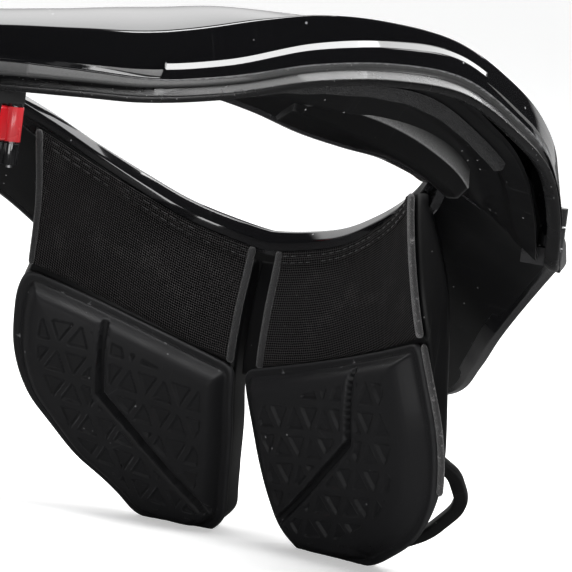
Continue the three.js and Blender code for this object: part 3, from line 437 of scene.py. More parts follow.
def shell_section(angle, trimmed):
    """The shell's closed section: up the neck side, over the top, down the outer wall and back."""
    at = collar_at(angle)
    drop, lip_lift, crown_shift = read_shoulder(at.fold)
    lip = at.edge + (TRIM_HEIGHT + FIT_GAP + lip_lift if trimmed else 0)
    out = at.outer + at.overhang
    crown_radius = at.inner + (CROWN_PLACE + crown_shift) * (at.outer - at.inner)
    full = 1 - ease(at.fold, 90, 112)
    top = full * (at.crown - drop) + (1 - full) * (lip + SHELL_END_HEIGHT)
    inset_share = 1 - 0.3 * ease(at.fold, 44, 58) + 0.62 * ease(at.fold, 60, 84)
    shoulder = corners((out - 1 - SHOULDER_INSET * full * inset_share, top))[:, 0]
    start = corners((at.inner + 2.5, at.rim))[:, 0]
    crown = corners((crown_radius, at.crown))[:, 0]
    smooth = through_three(start, crown, shoulder, 10)
    share = np.linspace(0, 2, 21)
    over = []
    for place, point in zip(share, smooth):
        low = start if place < 1 else shoulder
        bow = abs(1 - place)
        level = crown[:, 1] - (crown - low)[:, 1] * bow ** 2
        radius = crown[:, 0] + (low - crown)[:, 0] * bow
        domed = np.stack((radius, level), -1)
        over.append(point + (domed - point) * full[:, None])
    slope = (over[1] - over[0])[:, 1] / (over[1] - over[0])[:, 0]
    started = ease(at.fold, LEDGE_START, LEDGE_START + 0.6)
    ledge = started * (1 - ease(at.fold, 58, LEDGE_END))
    ledge_lift = read_ledge(at.fold)[0]
    foot = corners((out - 0.4 * (1 - started), lip))[:, 0]
    top_edge = shoulder + (foot - shoulder) * 0.42
    low_edge = shoulder + (foot - shoulder) * 0.6
    top_edge += (corners((out - 2.5, lip + 1.8))[:, 0] - top_edge) * (1 - started)[:, None]
    low_edge += (corners((out - 0.4, lip + 0.8))[:, 0] - low_edge) * (1 - started)[:, None]
    top_ledge = corners((out - 3.0, lip + ledge_lift + 2.1))[:, 0]
    low_ledge = corners((out - 0.7, lip + ledge_lift))[:, 0]
    top_step = top_edge + (top_ledge - top_edge) * ledge[:, None]
    low_step = low_edge + (low_ledge - low_edge) * ledge[:, None]
    outside = rounded(np.stack([over[-3], shoulder, top_step, low_step, foot,
                                corners((out - 3, lip + 0.2))[:, 0]], 1), (0, 1.5, 0.3, 0.6, 0.6, 0), 4)
    neck_side = [corners((at.inner, at.sill))[:, 0], corners((at.inner, at.rim - 2.5 * slope))[:, 0]]
    rim_round = rounded(np.stack(neck_side + [over[1]], 1), (0, 2.6, 0), 5)
    inside = corners(
        (out - 3.4, lip + 1.2), (out - 6.5, lip + 4.2), (crown_radius, at.crown - 3.4),
        (at.inner + 6, at.rim - 3.6), (at.inner + 3, at.rim - 7), (at.inner + 3, at.sill),
    )
    return np.concatenate((rim_round, np.stack(over[2:-3], 1), outside, inside), 1)


REAR_STATIONS = 221
FRONT_STATIONS = 181


def rear_rings(section_at):
    """Rings of a section round the rear half, with flat ends on the parting. More of them
    stand where the ledge starts, so that its end is a clean step."""
    step = LEDGE_START + np.linspace(-0.1, 0.7, 13)
    spread = np.linspace(-PARTING_ANGLE, PARTING_ANGLE, REAR_STATIONS)
    angle = np.unique(np.concatenate((spread, step, -step)))
    section = section_at(angle)
    depth = PARTING_FORWARD - FIT_GAP
    bent = to_parting(angle[:, None], section[..., 0], depth, PARTING_ANGLE - PARTING_SHARE, PARTING_ANGLE)
    return round_neck(bent, section[..., 0], section[..., 1])


def front_rings(section_at):
    """Rings of a section round the front half, with flat ends on the parting."""
    angle = np.linspace(PARTING_ANGLE, 360 - PARTING_ANGLE, FRONT_STATIONS)
    section = section_at(angle)
    fold = np.where(angle > 180, angle - 360, angle)[:, None]
    depth = PARTING_FORWARD + FIT_GAP
    bent = to_parting(fold, section[..., 0], depth, PARTING_ANGLE + PARTING_SHARE, PARTING_ANGLE)
    return round_neck(bent, section[..., 0], section[..., 1])


def build_marks():
    """Masks that every finish uses, by place on the object in millimetres: lint specks, soft
    smears, fine grain, long hairline scratches and wear along raised edges."""
    group = bpy.data.node_groups.new("surface_marks", "ShaderNodeTree")
    for name, value in (("Lint Amount", 0.1), ("Lint Size", 3.0), ("Grain Scale", 4.0),
                        ("Scratch Scale", 0.25)):
        socket = group.interface.new_socket(name, in_out="INPUT", socket_type="NodeSocketFloat")
        socket.default_value = value
    for name in ("Lint", "Smear", "Grain", "Scratch", "Wear"):
        group.interface.new_socket(name, in_out="OUTPUT", socket_type="NodeSocketFloat")
    given = new_node(group, "NodeGroupInput")
    out = new_node(group, "NodeGroupOutput")
    place = new_node(group, "ShaderNodeTexCoord")
    in_mm = new_node(group, "ShaderNodeVectorMath", {"operation": "SCALE"}, _3=1000.0)
    per_speck = new_node(group, "ShaderNodeMath", {"operation": "DIVIDE"}, _0=1.0)
    speck = new_node(group, "ShaderNodeTexVoronoi")
    near_speck = new_node(group, "ShaderNodeMapRange", _1=0.14, _2=0.05, _3=0.0, _4=1.0)
    draw = new_node(group, "ShaderNodeSeparateColor")
    chosen = new_node(group, "ShaderNodeMath", {"operation": "LESS_THAN"})
    lint = new_node(group, "ShaderNodeMath", {"operation": "MULTIPLY"})
    smear = new_node(group, "ShaderNodeTexNoise", _2=0.035, _3=4.0, _4=0.6)
    smear_range = new_node(group, "ShaderNodeMapRange", _1=0.42, _2=0.68, _3=0.0, _4=1.0)
    grain = new_node(group, "ShaderNodeTexNoise", _3=3.0, _4=0.55)
    turned = new_node(group, "ShaderNodeMapping")
    turned.inputs["Rotation"].default_value = (0.5, 0.9, 0.7)
    turned.inputs["Scale"].default_value = (0.1, 18.0, 0.1)
    hairline = new_node(group, "ShaderNodeTexNoise", _3=1.0)
    scratch = new_node(group, "ShaderNodeMapRange", _1=0.72, _2=0.78, _3=0.0, _4=1.0)
    shape = new_node(group, "ShaderNodeNewGeometry")
    wear = new_node(group, "ShaderNodeMapRange", _1=0.53, _2=0.62, _3=0.0, _4=1.0)
    wire(group, (place.outputs["Object"], in_mm.inputs[0]),
         (in_mm.outputs[0], speck.inputs["Vector"]), (given.outputs["Lint Size"], per_speck.inputs[1]),
         (per_speck.outputs[0], speck.inputs["Scale"]), (speck.outputs["Distance"], near_speck.inputs[0]),
         (speck.outputs["Color"], draw.inputs[0]), (draw.outputs[0], chosen.inputs[0]),
         (given.outputs["Lint Amount"], chosen.inputs[1]), (near_speck.outputs[0], lint.inputs[0]),
         (chosen.outputs[0], lint.inputs[1]), (lint.outputs[0], out.inputs["Lint"]),
         (in_mm.outputs[0], smear.inputs["Vector"]), (smear.outputs[0], smear_range.inputs[0]),
         (smear_range.outputs[0], out.inputs["Smear"]),
         (in_mm.outputs[0], grain.inputs["Vector"]), (given.outputs["Grain Scale"], grain.inputs["Scale"]),
         (grain.outputs[0], out.inputs["Grain"]),
         (in_mm.outputs[0], turned.inputs["Vector"]), (turned.outputs[0], hairline.inputs["Vector"]),
         (given.outputs["Scratch Scale"], hairline.inputs["Scale"]),
         (hairline.outputs[0], scratch.inputs[0]), (scratch.outputs[0], out.inputs["Scratch"]),
         (shape.outputs["Pointiness"], wear.inputs[0]), (wear.outputs[0], out.inputs["Wear"]))
    return group


marks_group = build_marks()


def finish_material(name, base, light, roughness, rough_range, bump, lint, grain, worn, coat=0.0,
                    scratch_bump=0.0, lint_size=3.0, scratch_scale=0.25, scratched=0.1, specular=0.5):
    """A moulded finish: a dark base that lint, scratches, worn edges and the mesh's own
    dust_and_highlight values, which hold dusty marks and painted highlights, turn towards a light
    tone, rougher where it is smeared or marked, with a fine bump."""
    material, tree, shader = new_material(name, base, roughness, coat)
    shader.inputs["Specular IOR Level"].default_value = specular
    marks = new_node(tree, "ShaderNodeGroup", {"node_tree": marks_group})
    for key, value in (("Lint Amount", lint), ("Lint Size", lint_size), ("Grain Scale", grain),
                       ("Scratch Scale", scratch_scale)):
        marks.inputs[key].default_value = value
    dust_and_highlight = new_node(tree, "ShaderNodeAttribute", {"attribute_name": "dust_and_highlight"})
    dust_and_highlight_grain = new_node(tree, "ShaderNodeMath", {"operation": "MULTIPLY"})
    worn_share = new_node(tree, "ShaderNodeMath", {"operation": "MULTIPLY"}, _1=worn)
    scratch_share = new_node(tree, "ShaderNodeMath", {"operation": "MULTIPLY_ADD"}, _1=scratched)
    marked = new_node(tree, "ShaderNodeMath", {"operation": "MAXIMUM"})
    all_marks = new_node(tree, "ShaderNodeMath", {"operation": "ADD", "use_clamp": True})
    tone = new_node(tree, "ShaderNodeMix", {"data_type": "RGBA"}, _6=(*base, 1), _7=(*light, 1))
    rough = new_node(tree, "ShaderNodeMath", {"operation": "MULTIPLY_ADD"}, _1=rough_range, _2=roughness)
    rough_marked = new_node(tree, "ShaderNodeMath", {"operation": "MULTIPLY_ADD", "use_clamp": True}, _1=0.5)
    height = new_node(tree, "ShaderNodeMath", {"operation": "MULTIPLY_ADD"}, _1=-scratch_bump)
    relief = new_node(tree, "ShaderNodeBump", _0=1.0)
    relief.inputs["Distance"].default_value = bump * MM
    wire(tree, (dust_and_highlight.outputs["Fac"], dust_and_highlight_grain.inputs[0]), (marks.outputs["Grain"], dust_and_highlight_grain.inputs[1]),
         (marks.outputs["Wear"], worn_share.inputs[0]),
         (marks.outputs["Scratch"], scratch_share.inputs[0]),
         (worn_share.outputs[0], scratch_share.inputs[2]),
         (marks.outputs["Lint"], marked.inputs[0]), (scratch_share.outputs[0], marked.inputs[1]),
         (marked.outputs[0], all_marks.inputs[0]), (dust_and_highlight_grain.outputs[0], all_marks.inputs[1]),
         (all_marks.outputs[0], tone.inputs[0]), (tone.outputs[2], shader.inputs["Base Color"]),
         (marks.outputs["Smear"], rough.inputs[0]), (all_marks.outputs[0], rough_marked.inputs[0]),
         (rough.outputs[0], rough_marked.inputs[2]), (rough_marked.outputs[0], shader.inputs["Roughness"]),
         (marks.outputs["Scratch"], height.inputs[0]), (marks.outputs["Grain"], height.inputs[2]),
         (height.outputs[0], relief.inputs["Height"]), (relief.outputs[0], shader.inputs["Normal"]))
    return material


def dust_and_highlight_on(piece, values):
    """Gives a mesh its dust_and_highlight values, one number for each point: dusty marks, and on some edges a
    painted highlight.
    """
    layer = piece.data.attributes.new("dust_and_highlight", "FLOAT", "POINT")
    layer.data.foreach_set("value", np.asarray(values, np.float32))


def points_of(piece):
    flat = np.empty(len(piece.data.vertices) * 3)
    piece.data.vertices.foreach_get("co", flat)
    return flat.reshape(-1, 3) / MM


def collar_place(piece):
    """Angle round the neck, radius and height of each point of a piece, in mm and degrees."""
    x, y, z = points_of(piece).T
    y = y - ORIGIN_FORWARD
    return np.degrees(np.arctan2(-x, y)), np.hypot(x, y), z


def keep_modified(piece, sharp_angle):
    """Makes the shape that a piece's modifiers give it its own."""
    bpy.context.view_layer.update()
    shown = piece.evaluated_get(bpy.context.evaluated_depsgraph_get())
    shape = bpy.data.meshes.new_from_object(shown)
    piece.modifiers.clear()
    piece.data = shape
    settle(piece, sharp_angle)


def carve(piece, *tools, sharp_angle=35):
    """Cuts tools out of a piece for good, and deletes the tools."""
    for tool in tools:
        cut = piece.modifiers.new("cut", "BOOLEAN")
        cut.object = tool
        cut.operation = "DIFFERENCE"
        cut.solver = "EXACT"
    keep_modified(piece, sharp_angle)
    for tool in tools:
        bpy.data.objects.remove(tool)


def stand_for(piece, body, material, slot, *replaced):
    """Gives a piece its finish and its body, and puts it in place of CAD nodes."""
    piece.data.materials.clear()
    piece.data.materials.append(material)
    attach(piece, body)
    if replaced:
        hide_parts(*replaced)
    return piece


def rod(name, x, y, radius, low, high):
    """An upright round bar, in mm."""
    turn = np.linspace(0, 2 * np.pi, 40, endpoint=False)
    round_x, round_y = x + radius * np.cos(turn), y + radius * np.sin(turn)
    rings = [np.stack((round_x, round_y, np.full(40, level)), -1) for level in (low, high)]
    return skin(name, np.array(rings) * MM)


# Both halves leave room at the right end for the hinge: round for its knuckles, and square for
# the arm behind them.
HINGE_ROOM = 4.1
ARM_LENGTH = 8
END_PLATE = 4
HINGE_LENGTH = 18
pin_low, pin_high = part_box("hinge_pin_right")
HINGE_X = (pin_low.x + pin_high.x) / 2 / MM
HINGE_Y = (pin_low.y + pin_high.y) / 2 / MM


def hinge_room(side):
    """Room for the hinge knuckles and the arm behind them. side is 1 behind the parting, -1 ahead."""
    knuckles = rod("knuckle_room", HINGE_X, HINGE_Y, HINGE_ROOM, 0, COLLAR_TOP + 20)
    work = bmesh.new()
    size = Vector((ARM_LENGTH + FIT_GAP, END_PLATE + 2 * FIT_GAP, HINGE_LENGTH + 2 * FIT_GAP))
    middle = Vector((HINGE_X + size.x / 2, HINGE_Y + side * (END_PLATE / 2 + FIT_GAP),
                     (pin_low.z + pin_high.z) / 2 / MM))
    cube = bmesh.ops.create_cube(work, size=1)["verts"]
    bmesh.ops.scale(work, vec=size * MM, verts=cube)
    bmesh.ops.translate(work, vec=middle * MM, verts=cube)
    mesh = bpy.data.meshes.new("arm_room")
    work.to_mesh(mesh)
    work.free()
    arm = bpy.data.objects.new("arm_room", mesh)
    scene.collection.objects.link(arm)
    return knuckles, arm


gloss_black = finish_material("gloss_black_moulding", (0.0055, 0.0055, 0.0062), (0.42, 0.42, 0.43), 0.045,
                              rough_range=0.05, coat=0.4, bump=0.002, lint=0.10, lint_size=3.4,
                              grain=0.5, scratch_scale=0.2, scratched=0.02, worn=0.05)
# The shell's lip is painted lighter along a thin line: partly a dusty edge, partly a painted highlight of its
# rounded edge.
LIP_DUST_AND_HIGHLIGHT = 0.8
LIP_DUST_AND_HIGHLIGHT_REACH = 0.45

rear_shell = skin("rear_shell", rear_rings(lambda angle: shell_section(angle, True)))
carve(rear_shell, *hinge_room(1))
shell_angle, shell_radius, shell_height = collar_place(rear_shell)
shell_at = collar_at(shell_angle)
lip_height = shell_height - (shell_at.edge + TRIM_HEIGHT + FIT_GAP + read_shoulder(shell_at.fold)[1])
at_lip = (np.abs(lip_height) < LIP_DUST_AND_HIGHLIGHT_REACH) & (shell_radius > shell_at.outer - 2)
dust_and_highlight_on(rear_shell, np.where(at_lip, LIP_DUST_AND_HIGHLIGHT, 0) * ease(np.abs(shell_angle), 20, 36))
stand_for(rear_shell, "rear", gloss_black, "gloss_shell", "rear_collar_shell")

# The rear liner: a satin black panel that closes the underside of the rear half. Between the
# shoulders it is hollowed by a long channel, and it is clipped in behind the rubber trim.
LINER_WALL = 2
LINER_INSET = 1.5
SHELL_WALL = 3
TRIM_DEPTH = 5


def liner_corners(angle, trimmed):
    at = collar_at(angle)
    start = np.stack((at.inner + SHELL_WALL + FIT_GAP, at.sill + LINER_INSET), -1)
    edge_depth = (TRIM_DEPTH if trimmed else SHELL_WALL) + FIT_GAP
    end = np.stack((at.outer - edge_depth, at.edge + LINER_INSET), -1)
    lift = np.stack((np.zeros_like(at.recess), at.recess), -1)
    return [start, start + 0.4 * (end - start), start + 0.48 * (end - start) + lift,
            start + 0.7 * (end - start) + lift, start + 0.78 * (end - start), end]


def liner_section(angle, trimmed):
    low = liner_corners(angle, trimmed)
    up = np.array((0, LINER_WALL))
    return rounded(np.stack(low + [point + up for point in reversed(low)], 1),
                   (0.4, 1.6, 1.6, 1.6, 1.6, 0.4, 0, 0, 0, 0, 0, 0), 3)


satin_black = finish_material("satin_black_moulding", (0.0035, 0.0035, 0.004), (0.2, 0.2, 0.2), 0.33,
                              rough_range=0.12, bump=0.03, scratch_bump=0.3, lint=0.16, lint_size=2.6,
                              grain=3.0, worn=0.25, specular=0.35)
rear_liner = skin("rear_liner_panel", rear_rings(lambda angle: liner_section(angle, True)), sharp_angle=50)
carve(rear_liner, *hinge_room(1), sharp_angle=50)
stand_for(rear_liner, "rear", satin_black, "satin_shell", "rear_liner")

# The edge trim: an extruded black rubber profile pushed on to the rear half's outer edge. Its
# one rounded bead stands a little out of the shell, and lint clings to it.
TRIM_ROOT = 3.5


def trim_section(angle):
    """The trim's closed section. It stands out most over the shoulders, and not at the parting."""
    at = collar_at(angle)
    stands_out = (0.4 + 1.4 * ease(at.fold, 24, 34)) * (1 - ease(at.fold, 86, 97))
    out, low, high = at.outer + at.overhang + stands_out, at.edge, TRIM_HEIGHT
    return rounded(corners(
        (out - TRIM_DEPTH, low + 0.2 * high), (out - 3, low), (out - 0.7, low + 0.02 * high),
        (out - 0.1, low + 0.18 * high), (out, low + 0.34 * high), (out - 2.75, low + 0.79 * high),
        (out - 2.8, low + high),
        (out - 2.8, low + high + TRIM_ROOT), (out - TRIM_DEPTH, low + high + TRIM_ROOT),
    ), (0.5, 0.8, 0.7, 0.3, 1.3, 1.0, 0.2, 0, 0), 4)


trim_rubber = finish_material("edge_rubber", (0.007, 0.007, 0.0075), (0.3, 0.3, 0.3), 0.24, rough_range=0.08,
                              coat=0.25, bump=0.06, lint=0.3, lint_size=1.6, grain=5.0, worn=0.3)
edge_trim = skin("edge_trim", rear_rings(trim_section), sharp_angle=60)
carve(edge_trim, *hinge_room(1), sharp_angle=60)
trim_angle, _, trim_height = collar_place(edge_trim)
trim_level = (trim_height - collar_at(trim_angle).edge) / TRIM_HEIGHT
# The trim's top is painted dusty; the thin line at 0.8 of its height is a painted highlight along the bead's
# upper edge.
dust_and_highlight_on(edge_trim, 0.5 * ease(trim_level, 0.75, 0.97) + 0.35 * (np.abs(trim_level - 0.8) < 0.05))
stand_for(edge_trim, "rear", trim_rubber, "edge_rubber", "rear_edge_trim")

# Foam strips: a strip of dark grey cell foam under each shoulder, cut from sheet and stuck
# along the outer edge of the liner.
FOAM_START = 42
FOAM_END = 85
FOAM_WIDTH = 4.6
FOAM_INSET = 3.8
FOAM_WALL = 2.5


def under_liner(angle, share):
    """A place on the straight line under the liner, from its inner edge (0) to its outer (1)."""
    low = liner_corners(angle, True)
    return low[0] + (low[-1] - low[0]) * share


def collar_strip(name, section, angle, sharp_angle):
    """A strip that runs round the neck, with its section at each of the angles."""
    flat = section(angle)
    return skin(name, round_neck(angle[:, None], flat[..., 0], flat[..., 1]), sharp_angle=sharp_angle)


def foam_section(angle):
    inside = under_liner(angle, 0)
    outer = under_liner(angle, 0.985)
    outer = outer + (inside - outer) * (FOAM_INSET / np.linalg.norm(inside - outer, axis=1))[:, None]
    inner = outer + (inside - outer) * (FOAM_WIDTH / np.linalg.norm(inside - outer, axis=1))[:, None]
    ripple = 0.25 * np.sin(np.radians(angle) * 41) * np.sin(np.radians(angle) * 17)
    low = np.stack((0 * ripple, ripple - FOAM_WALL), -1)
    return rounded(np.stack((outer - (0, FIT_GAP), inner - (0, FIT_GAP), inner + low + (0.6, 0),
                             outer + low - (0.8, 0)), 1), (0, 0, 0.7, 0.7), 3)


def build_foam_finish():
    material, tree, shader = new_material("cell_foam", (0.02, 0.02, 0.021), 0.95)
    place = new_node(tree, "ShaderNodeTexCoord")
    cells = new_node(tree, "ShaderNodeTexVoronoi", _2=1900.0)
    depth = new_node(tree, "ShaderNodeMapRange", _1=0.1, _2=0.6, _3=0.0, _4=1.0)
    blotch = new_node(tree, "ShaderNodeTexNoise", _2=350.0, _3=3.0)
    mixed = new_node(tree, "ShaderNodeMath", {"operation": "MULTIPLY"})
    # The foam is painted darker where its cells are deep, in blotches: painted shade in the cell pits, over a
    # tone that varies at random.
    tone = new_node(tree, "ShaderNodeMix", {"data_type": "RGBA"}, _6=(0.026, 0.026, 0.027, 1),
                    _7=(0.004, 0.004, 0.0045, 1))
    relief = new_node(tree, "ShaderNodeBump", {"invert": True}, _0=1.0)
    relief.inputs["Distance"].default_value = 0.25 * MM
    wire(tree, (place.outputs["Object"], cells.inputs["Vector"]),
         (place.outputs["Object"], blotch.inputs["Vector"]),
         (cells.outputs["Distance"], depth.inputs[0]), (depth.outputs[0], mixed.inputs[0]),
         (blotch.outputs[0], mixed.inputs[1]), (mixed.outputs[0], tone.inputs[0]),
         (tone.outputs[2], shader.inputs["Base Color"]), (depth.outputs[0], relief.inputs["Height"]),
         (relief.outputs[0], shader.inputs["Normal"]))
    return material


cell_foam = build_foam_finish()

# Shoulder tabs: a satin black moulded shelf under each shoulder, screwed to the liner. It
# grows wider and deeper towards the front, with a ridge along it and a cut-off front end.
TAB_START = 52
TAB_END = 89
TAB_DROP = 7
TAB_CORNERS = 8
TAB_DUSTY_CORNER = 3
TAB_DUSTY_WIDTH = 0.14
TAB_DUST = 1.3


def tab_section(angle):
    along = (np.abs(angle) - TAB_START) / (TAB_END - TAB_START)
    grown = 0.2 + 0.8 * ease(along, -0.2, 0.9)
    recess = collar_at(angle).recess
    inner = under_liner(angle, 0.04)
    ridge = under_liner(angle, 0.28) - np.stack((0 * grown, grown * TAB_DROP), -1)
    outer = under_liner(angle, (0.32 + 0.13 * grown)[:, None])
    face = outer + np.stack((0 * grown + 0.5, recess - grown * TAB_DROP), -1)
    middle = (ridge + outer) / 2 + np.stack((0 * grown + 0.5, -0.45 * grown * TAB_DROP), -1)
    step = np.stack((0 * grown, recess - FIT_GAP), -1)
    top = ridge * (1, 0) + outer * (0, 1) - (0, FIT_GAP)
    behind_dust = face + (middle - face) * TAB_DUSTY_WIDTH
    return rounded(np.stack((inner - (0, FIT_GAP), top, outer + step, face, behind_dust, middle, ridge,
                             inner + (0.5, -1.6)), 1), (0.3, 0.3, 0.5, 0.3, 0.1, 0.4, 0.7, 0.5), 3)


# The tabs' finish is the satin black moulding's with a darker base and less specular; the darker base is
# painted shade.
shade_darkened_tab_black = finish_material("shade_darkened_tab_moulding", (0.003, 0.003, 0.0034), (0.2, 0.2, 0.2), 0.34,
                            rough_range=0.12, bump=0.03, scratch_bump=0.3, lint=0.16, lint_size=2.6,
                            grain=3.0, worn=0.2, specular=0.25)

for side, sign in (("right", 1), ("left", -1)):
    foam = collar_strip(f"foam_strip_{side}_cut", foam_section,
                        sign * np.linspace(FOAM_START, FOAM_END, 120), 40)
    stand_for(foam, "rear", cell_foam, "grey_foam", f"foam_strip_{side}")
    tab = collar_strip(f"shoulder_tab_{side}_moulding", tab_section,
                       sign * np.linspace(TAB_START, TAB_END, 60), 30)
    ring_size = tab_section(np.array([60.0])).shape[1]
    ring_place = np.arange(len(tab.data.vertices)) % ring_size
    dust_and_highlight_on(tab, TAB_DUST * (ring_place * TAB_CORNERS // ring_size == TAB_DUSTY_CORNER))
    stand_for(tab, "rear", shade_darkened_tab_black, "satin_shell", f"shoulder_tab_{side}")

# The spine strut: a tapered satin black moulding that hangs from a bracket under the rear
# liner and lies along the spine. A foam pad with three channels across it is stuck in front.
STRUT_TOP = COLLAR_TOP - 36
STRUT_HALF_WIDTH = 21
STRUT_WALL = 6
STRUT_REACH = COLLAR_HALF_WIDTH - 27
STRUT_PAD_BASE = 9
STRUT_PAD_TOP = 82
STRUT_PAD_WALL = 8
STRUT_PAD_MARGIN = 3
STRUT_BOW = 2.2
BRACKET_SQUEEZE = 0.5

# Height as a share of STRUT_TOP, half width of STRUT_HALF_WIDTH, place back of STRUT_REACH.
STRUT_ROWS = [
    (0, 0.7, 0.97), (0.08, 0.95, 0.975), (0.3, 1, 0.99), (0.55, 0.8, 1.02), (0.75, 0.58, 1.03),
    (1, 0.55, 1),
]
read_strut = table_reader(STRUT_ROWS)


def strut_rings(height, half, front, back, cut, steps=5):
    """Rings up the strut: half widths, depths in front of and behind its middle, and rounding."""
    centre = read_strut(height / STRUT_TOP)[1] * STRUT_REACH
    share = np.linspace(-1, 1, 13)
    bow = STRUT_BOW * share ** 2
    x = half[:, None] * share
    front_line = np.stack(np.broadcast_arrays(x, centre[:, None] - front[:, None] - bow), -1)
    back_line = np.stack(np.broadcast_arrays(x, centre[:, None] + back[:, None] - bow), -1)[:, ::-1]
    flat = np.concatenate((front_line, back_line), 1)
    cuts = [0] * flat.shape[1]
    for corner in (0, 12, 13, 25):
        cuts[corner] = cut
    flat = rounded(flat, cuts, steps)
    level = np.broadcast_to(height[:, None], flat.shape[:2])
    return np.stack((flat[..., 0], flat[..., 1] + ORIGIN_FORWARD, level), -1) * MM


strut_height = np.linspace(0, STRUT_TOP - 1, 60)
strut_half = read_strut(strut_height / STRUT_TOP)[0] * STRUT_HALF_WIDTH
round_foot = np.sqrt(np.clip(strut_height / 5, 0, 1))
strut_half = strut_half * (0.9 + 0.1 * round_foot)
strut_wall = np.full(60, STRUT_WALL / 2)
strut = skin("spine_strut", strut_rings(strut_height, strut_half, strut_wall, strut_wall, 1.6),
             sharp_angle=50)
stand_for(strut, "rear", satin_black, "satin_shell", "thoracic_strut")

pad_rise = np.linspace(0, 1, 70)
pad_height = STRUT_PAD_BASE + (STRUT_PAD_TOP - STRUT_PAD_BASE) * pad_rise
end_round = np.clip(np.minimum(pad_rise, 1 - pad_rise) / 0.09, 0, 1)
end_round = np.sqrt(np.clip(1 - (1 - end_round) ** 2, 0, 1))
pad_half = read_strut(pad_height / STRUT_TOP)[0] * STRUT_HALF_WIDTH - STRUT_PAD_MARGIN
pad_half = pad_half * (0.72 + 0.28 * end_round)
channels = sum(np.exp(-((pad_rise - middle) / 0.022) ** 2) for middle in (0.3, 0.5, 0.7))
pad_front = (STRUT_WALL / 2 + FIT_GAP + (STRUT_PAD_WALL - FIT_GAP) * (0.35 + 0.65 * end_round)
             - 2.4 * channels)
pad_back = np.full(70, -STRUT_WALL / 2 - FIT_GAP)

pad_skin = finish_material("moulded_pad_foam", (0.0138, 0.0138, 0.0148), (0.16, 0.16, 0.165), 0.4,
                           rough_range=0.16, bump=0.05, lint=0.07, lint_size=3.2, grain=5.5, worn=0.6,
                           specular=0.18)
strut_pad = skin("spine_pad", strut_rings(pad_height, pad_half, pad_front, pad_back, 4.0, 7), sharp_angle=60)
stand_for(strut_pad, "rear", pad_skin, "pad_foam", "strut_pad")


def bevelled_copy(name, node, width):
    """A copy of a CAD node's shape with its hard edges rounded, as a moulding's are."""
    mesh = nodes[node].data.copy()
    piece = bpy.data.objects.new(name, mesh)
    scene.collection.objects.link(piece)
    work = bmesh.new()
    work.from_mesh(mesh)
    bmesh.ops.remove_doubles(work, verts=work.verts, dist=2e-6)
    bmesh.ops.dissolve_limit(work, angle_limit=math.radians(1), verts=work.verts, edges=work.edges)
    work.to_mesh(mesh)
    work.free()
    bevel = piece.modifiers.new("bevel", "BEVEL")
    bevel.width = width * MM
    bevel.segments = 3
    bevel.limit_method = "ANGLE"
    bevel.angle_limit = math.radians(32)
    bevel.use_clamp_overlap = True
    keep_modified(piece, 35)
    return piece


bracket = bevelled_copy("strut_bracket_moulding", "strut_bracket", 1.2)
bracket_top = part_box("strut_bracket")[1].z
for corner in bracket.data.vertices:
    corner.co.z = bracket_top + (corner.co.z - bracket_top) * BRACKET_SQUEEZE
stand_for(bracket, "rear", satin_black, "satin_shell", "strut_bracket")

# The hinge at the right and the catch at the left: gloss black end plates moulded into the
# ends of both halves, knuckles that interleave on a plain steel pin, and a tongue that slides
# into its socket. They are CAD solids with their finish.
steel = finish_material("pin_steel", (0.5, 0.5, 0.52), (0.7, 0.7, 0.7), 0.25, rough_range=0.2, bump=0.01,
                        scratch_bump=1.0, lint=0.05, grain=6.0, worn=0.4)
steel.node_tree.nodes["Principled BSDF"].inputs["Metallic"].default_value = 1.0


def finish_node(name, material):
    """Gives a CAD node its material, and shades it smooth between its real edges."""
    piece = nodes[name]
    piece.data.materials.clear()
    piece.data.materials.append(material)
    piece.data.shade_smooth()
    piece.data.set_sharp_from_angle(angle=math.radians(30))


for name in ("hinge_fork_right", "hinge_tongue_right", "closure_socket_left", "closure_tongue_left"):
    finish_node(name, gloss_black)
for name in ("hinge_pin_right", "lever_pin_left"):
    finish_node(name, steel)

# The front half's shell: a second glossy moulding that falls from the joints to a broad beak
# on the breastbone, with its own satin liner underneath.
front_shell = skin("front_shell", front_rings(lambda angle: shell_section(angle, False)))
carve(front_shell, *hinge_room(-1))
stand_for(front_shell, "front", gloss_black, "gloss_shell", "front_collar_shell")
front_liner = skin("front_liner_panel", front_rings(lambda angle: liner_section(angle, False)),
                   sharp_angle=50)
carve(front_liner, *hinge_room(-1), sharp_angle=50)
stand_for(front_liner, "front", satin_black, "satin_shell", "front_liner")

# The neck band: a glossy black strip welded round the front half's neck opening, with a wide
# chamfer along its inner top edge.
BAND_HEIGHT = 6
BAND_END = 117


def band_section(angle):
    at = collar_at(angle)
    inside = neck_radius(angle)
    base = at.rim - BAND_HEIGHT
    return rounded(corners(
        (inside, base), (inside, at.rim - 2.6), (inside + BAND_WALL - 0.9, at.rim + 0.5),
        (inside + BAND_WALL, at.rim + 0.5), (inside + BAND_WALL, base),
    ), (0.5, 0.5, 0.5, 0.4, 0.4), 4)


band = collar_strip("neck_band_strip", band_section, np.linspace(BAND_END, 360 - BAND_END, 241), 35)
stand_for(band, "front", gloss_black, "gloss_shell", "neck_band")

# The release: a red moulded lever in a gloss black block inside the left end of the front
# half, which turns on a steel pin. The lever is a plain flat tongue with a round barrel.
LEVER_RAISE_LOW = 4.5
LEVER_RAISE_HIGH = 1.6
block_low, block_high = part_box("closure_block_left")
lever_low, lever_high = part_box("release_lever_left")


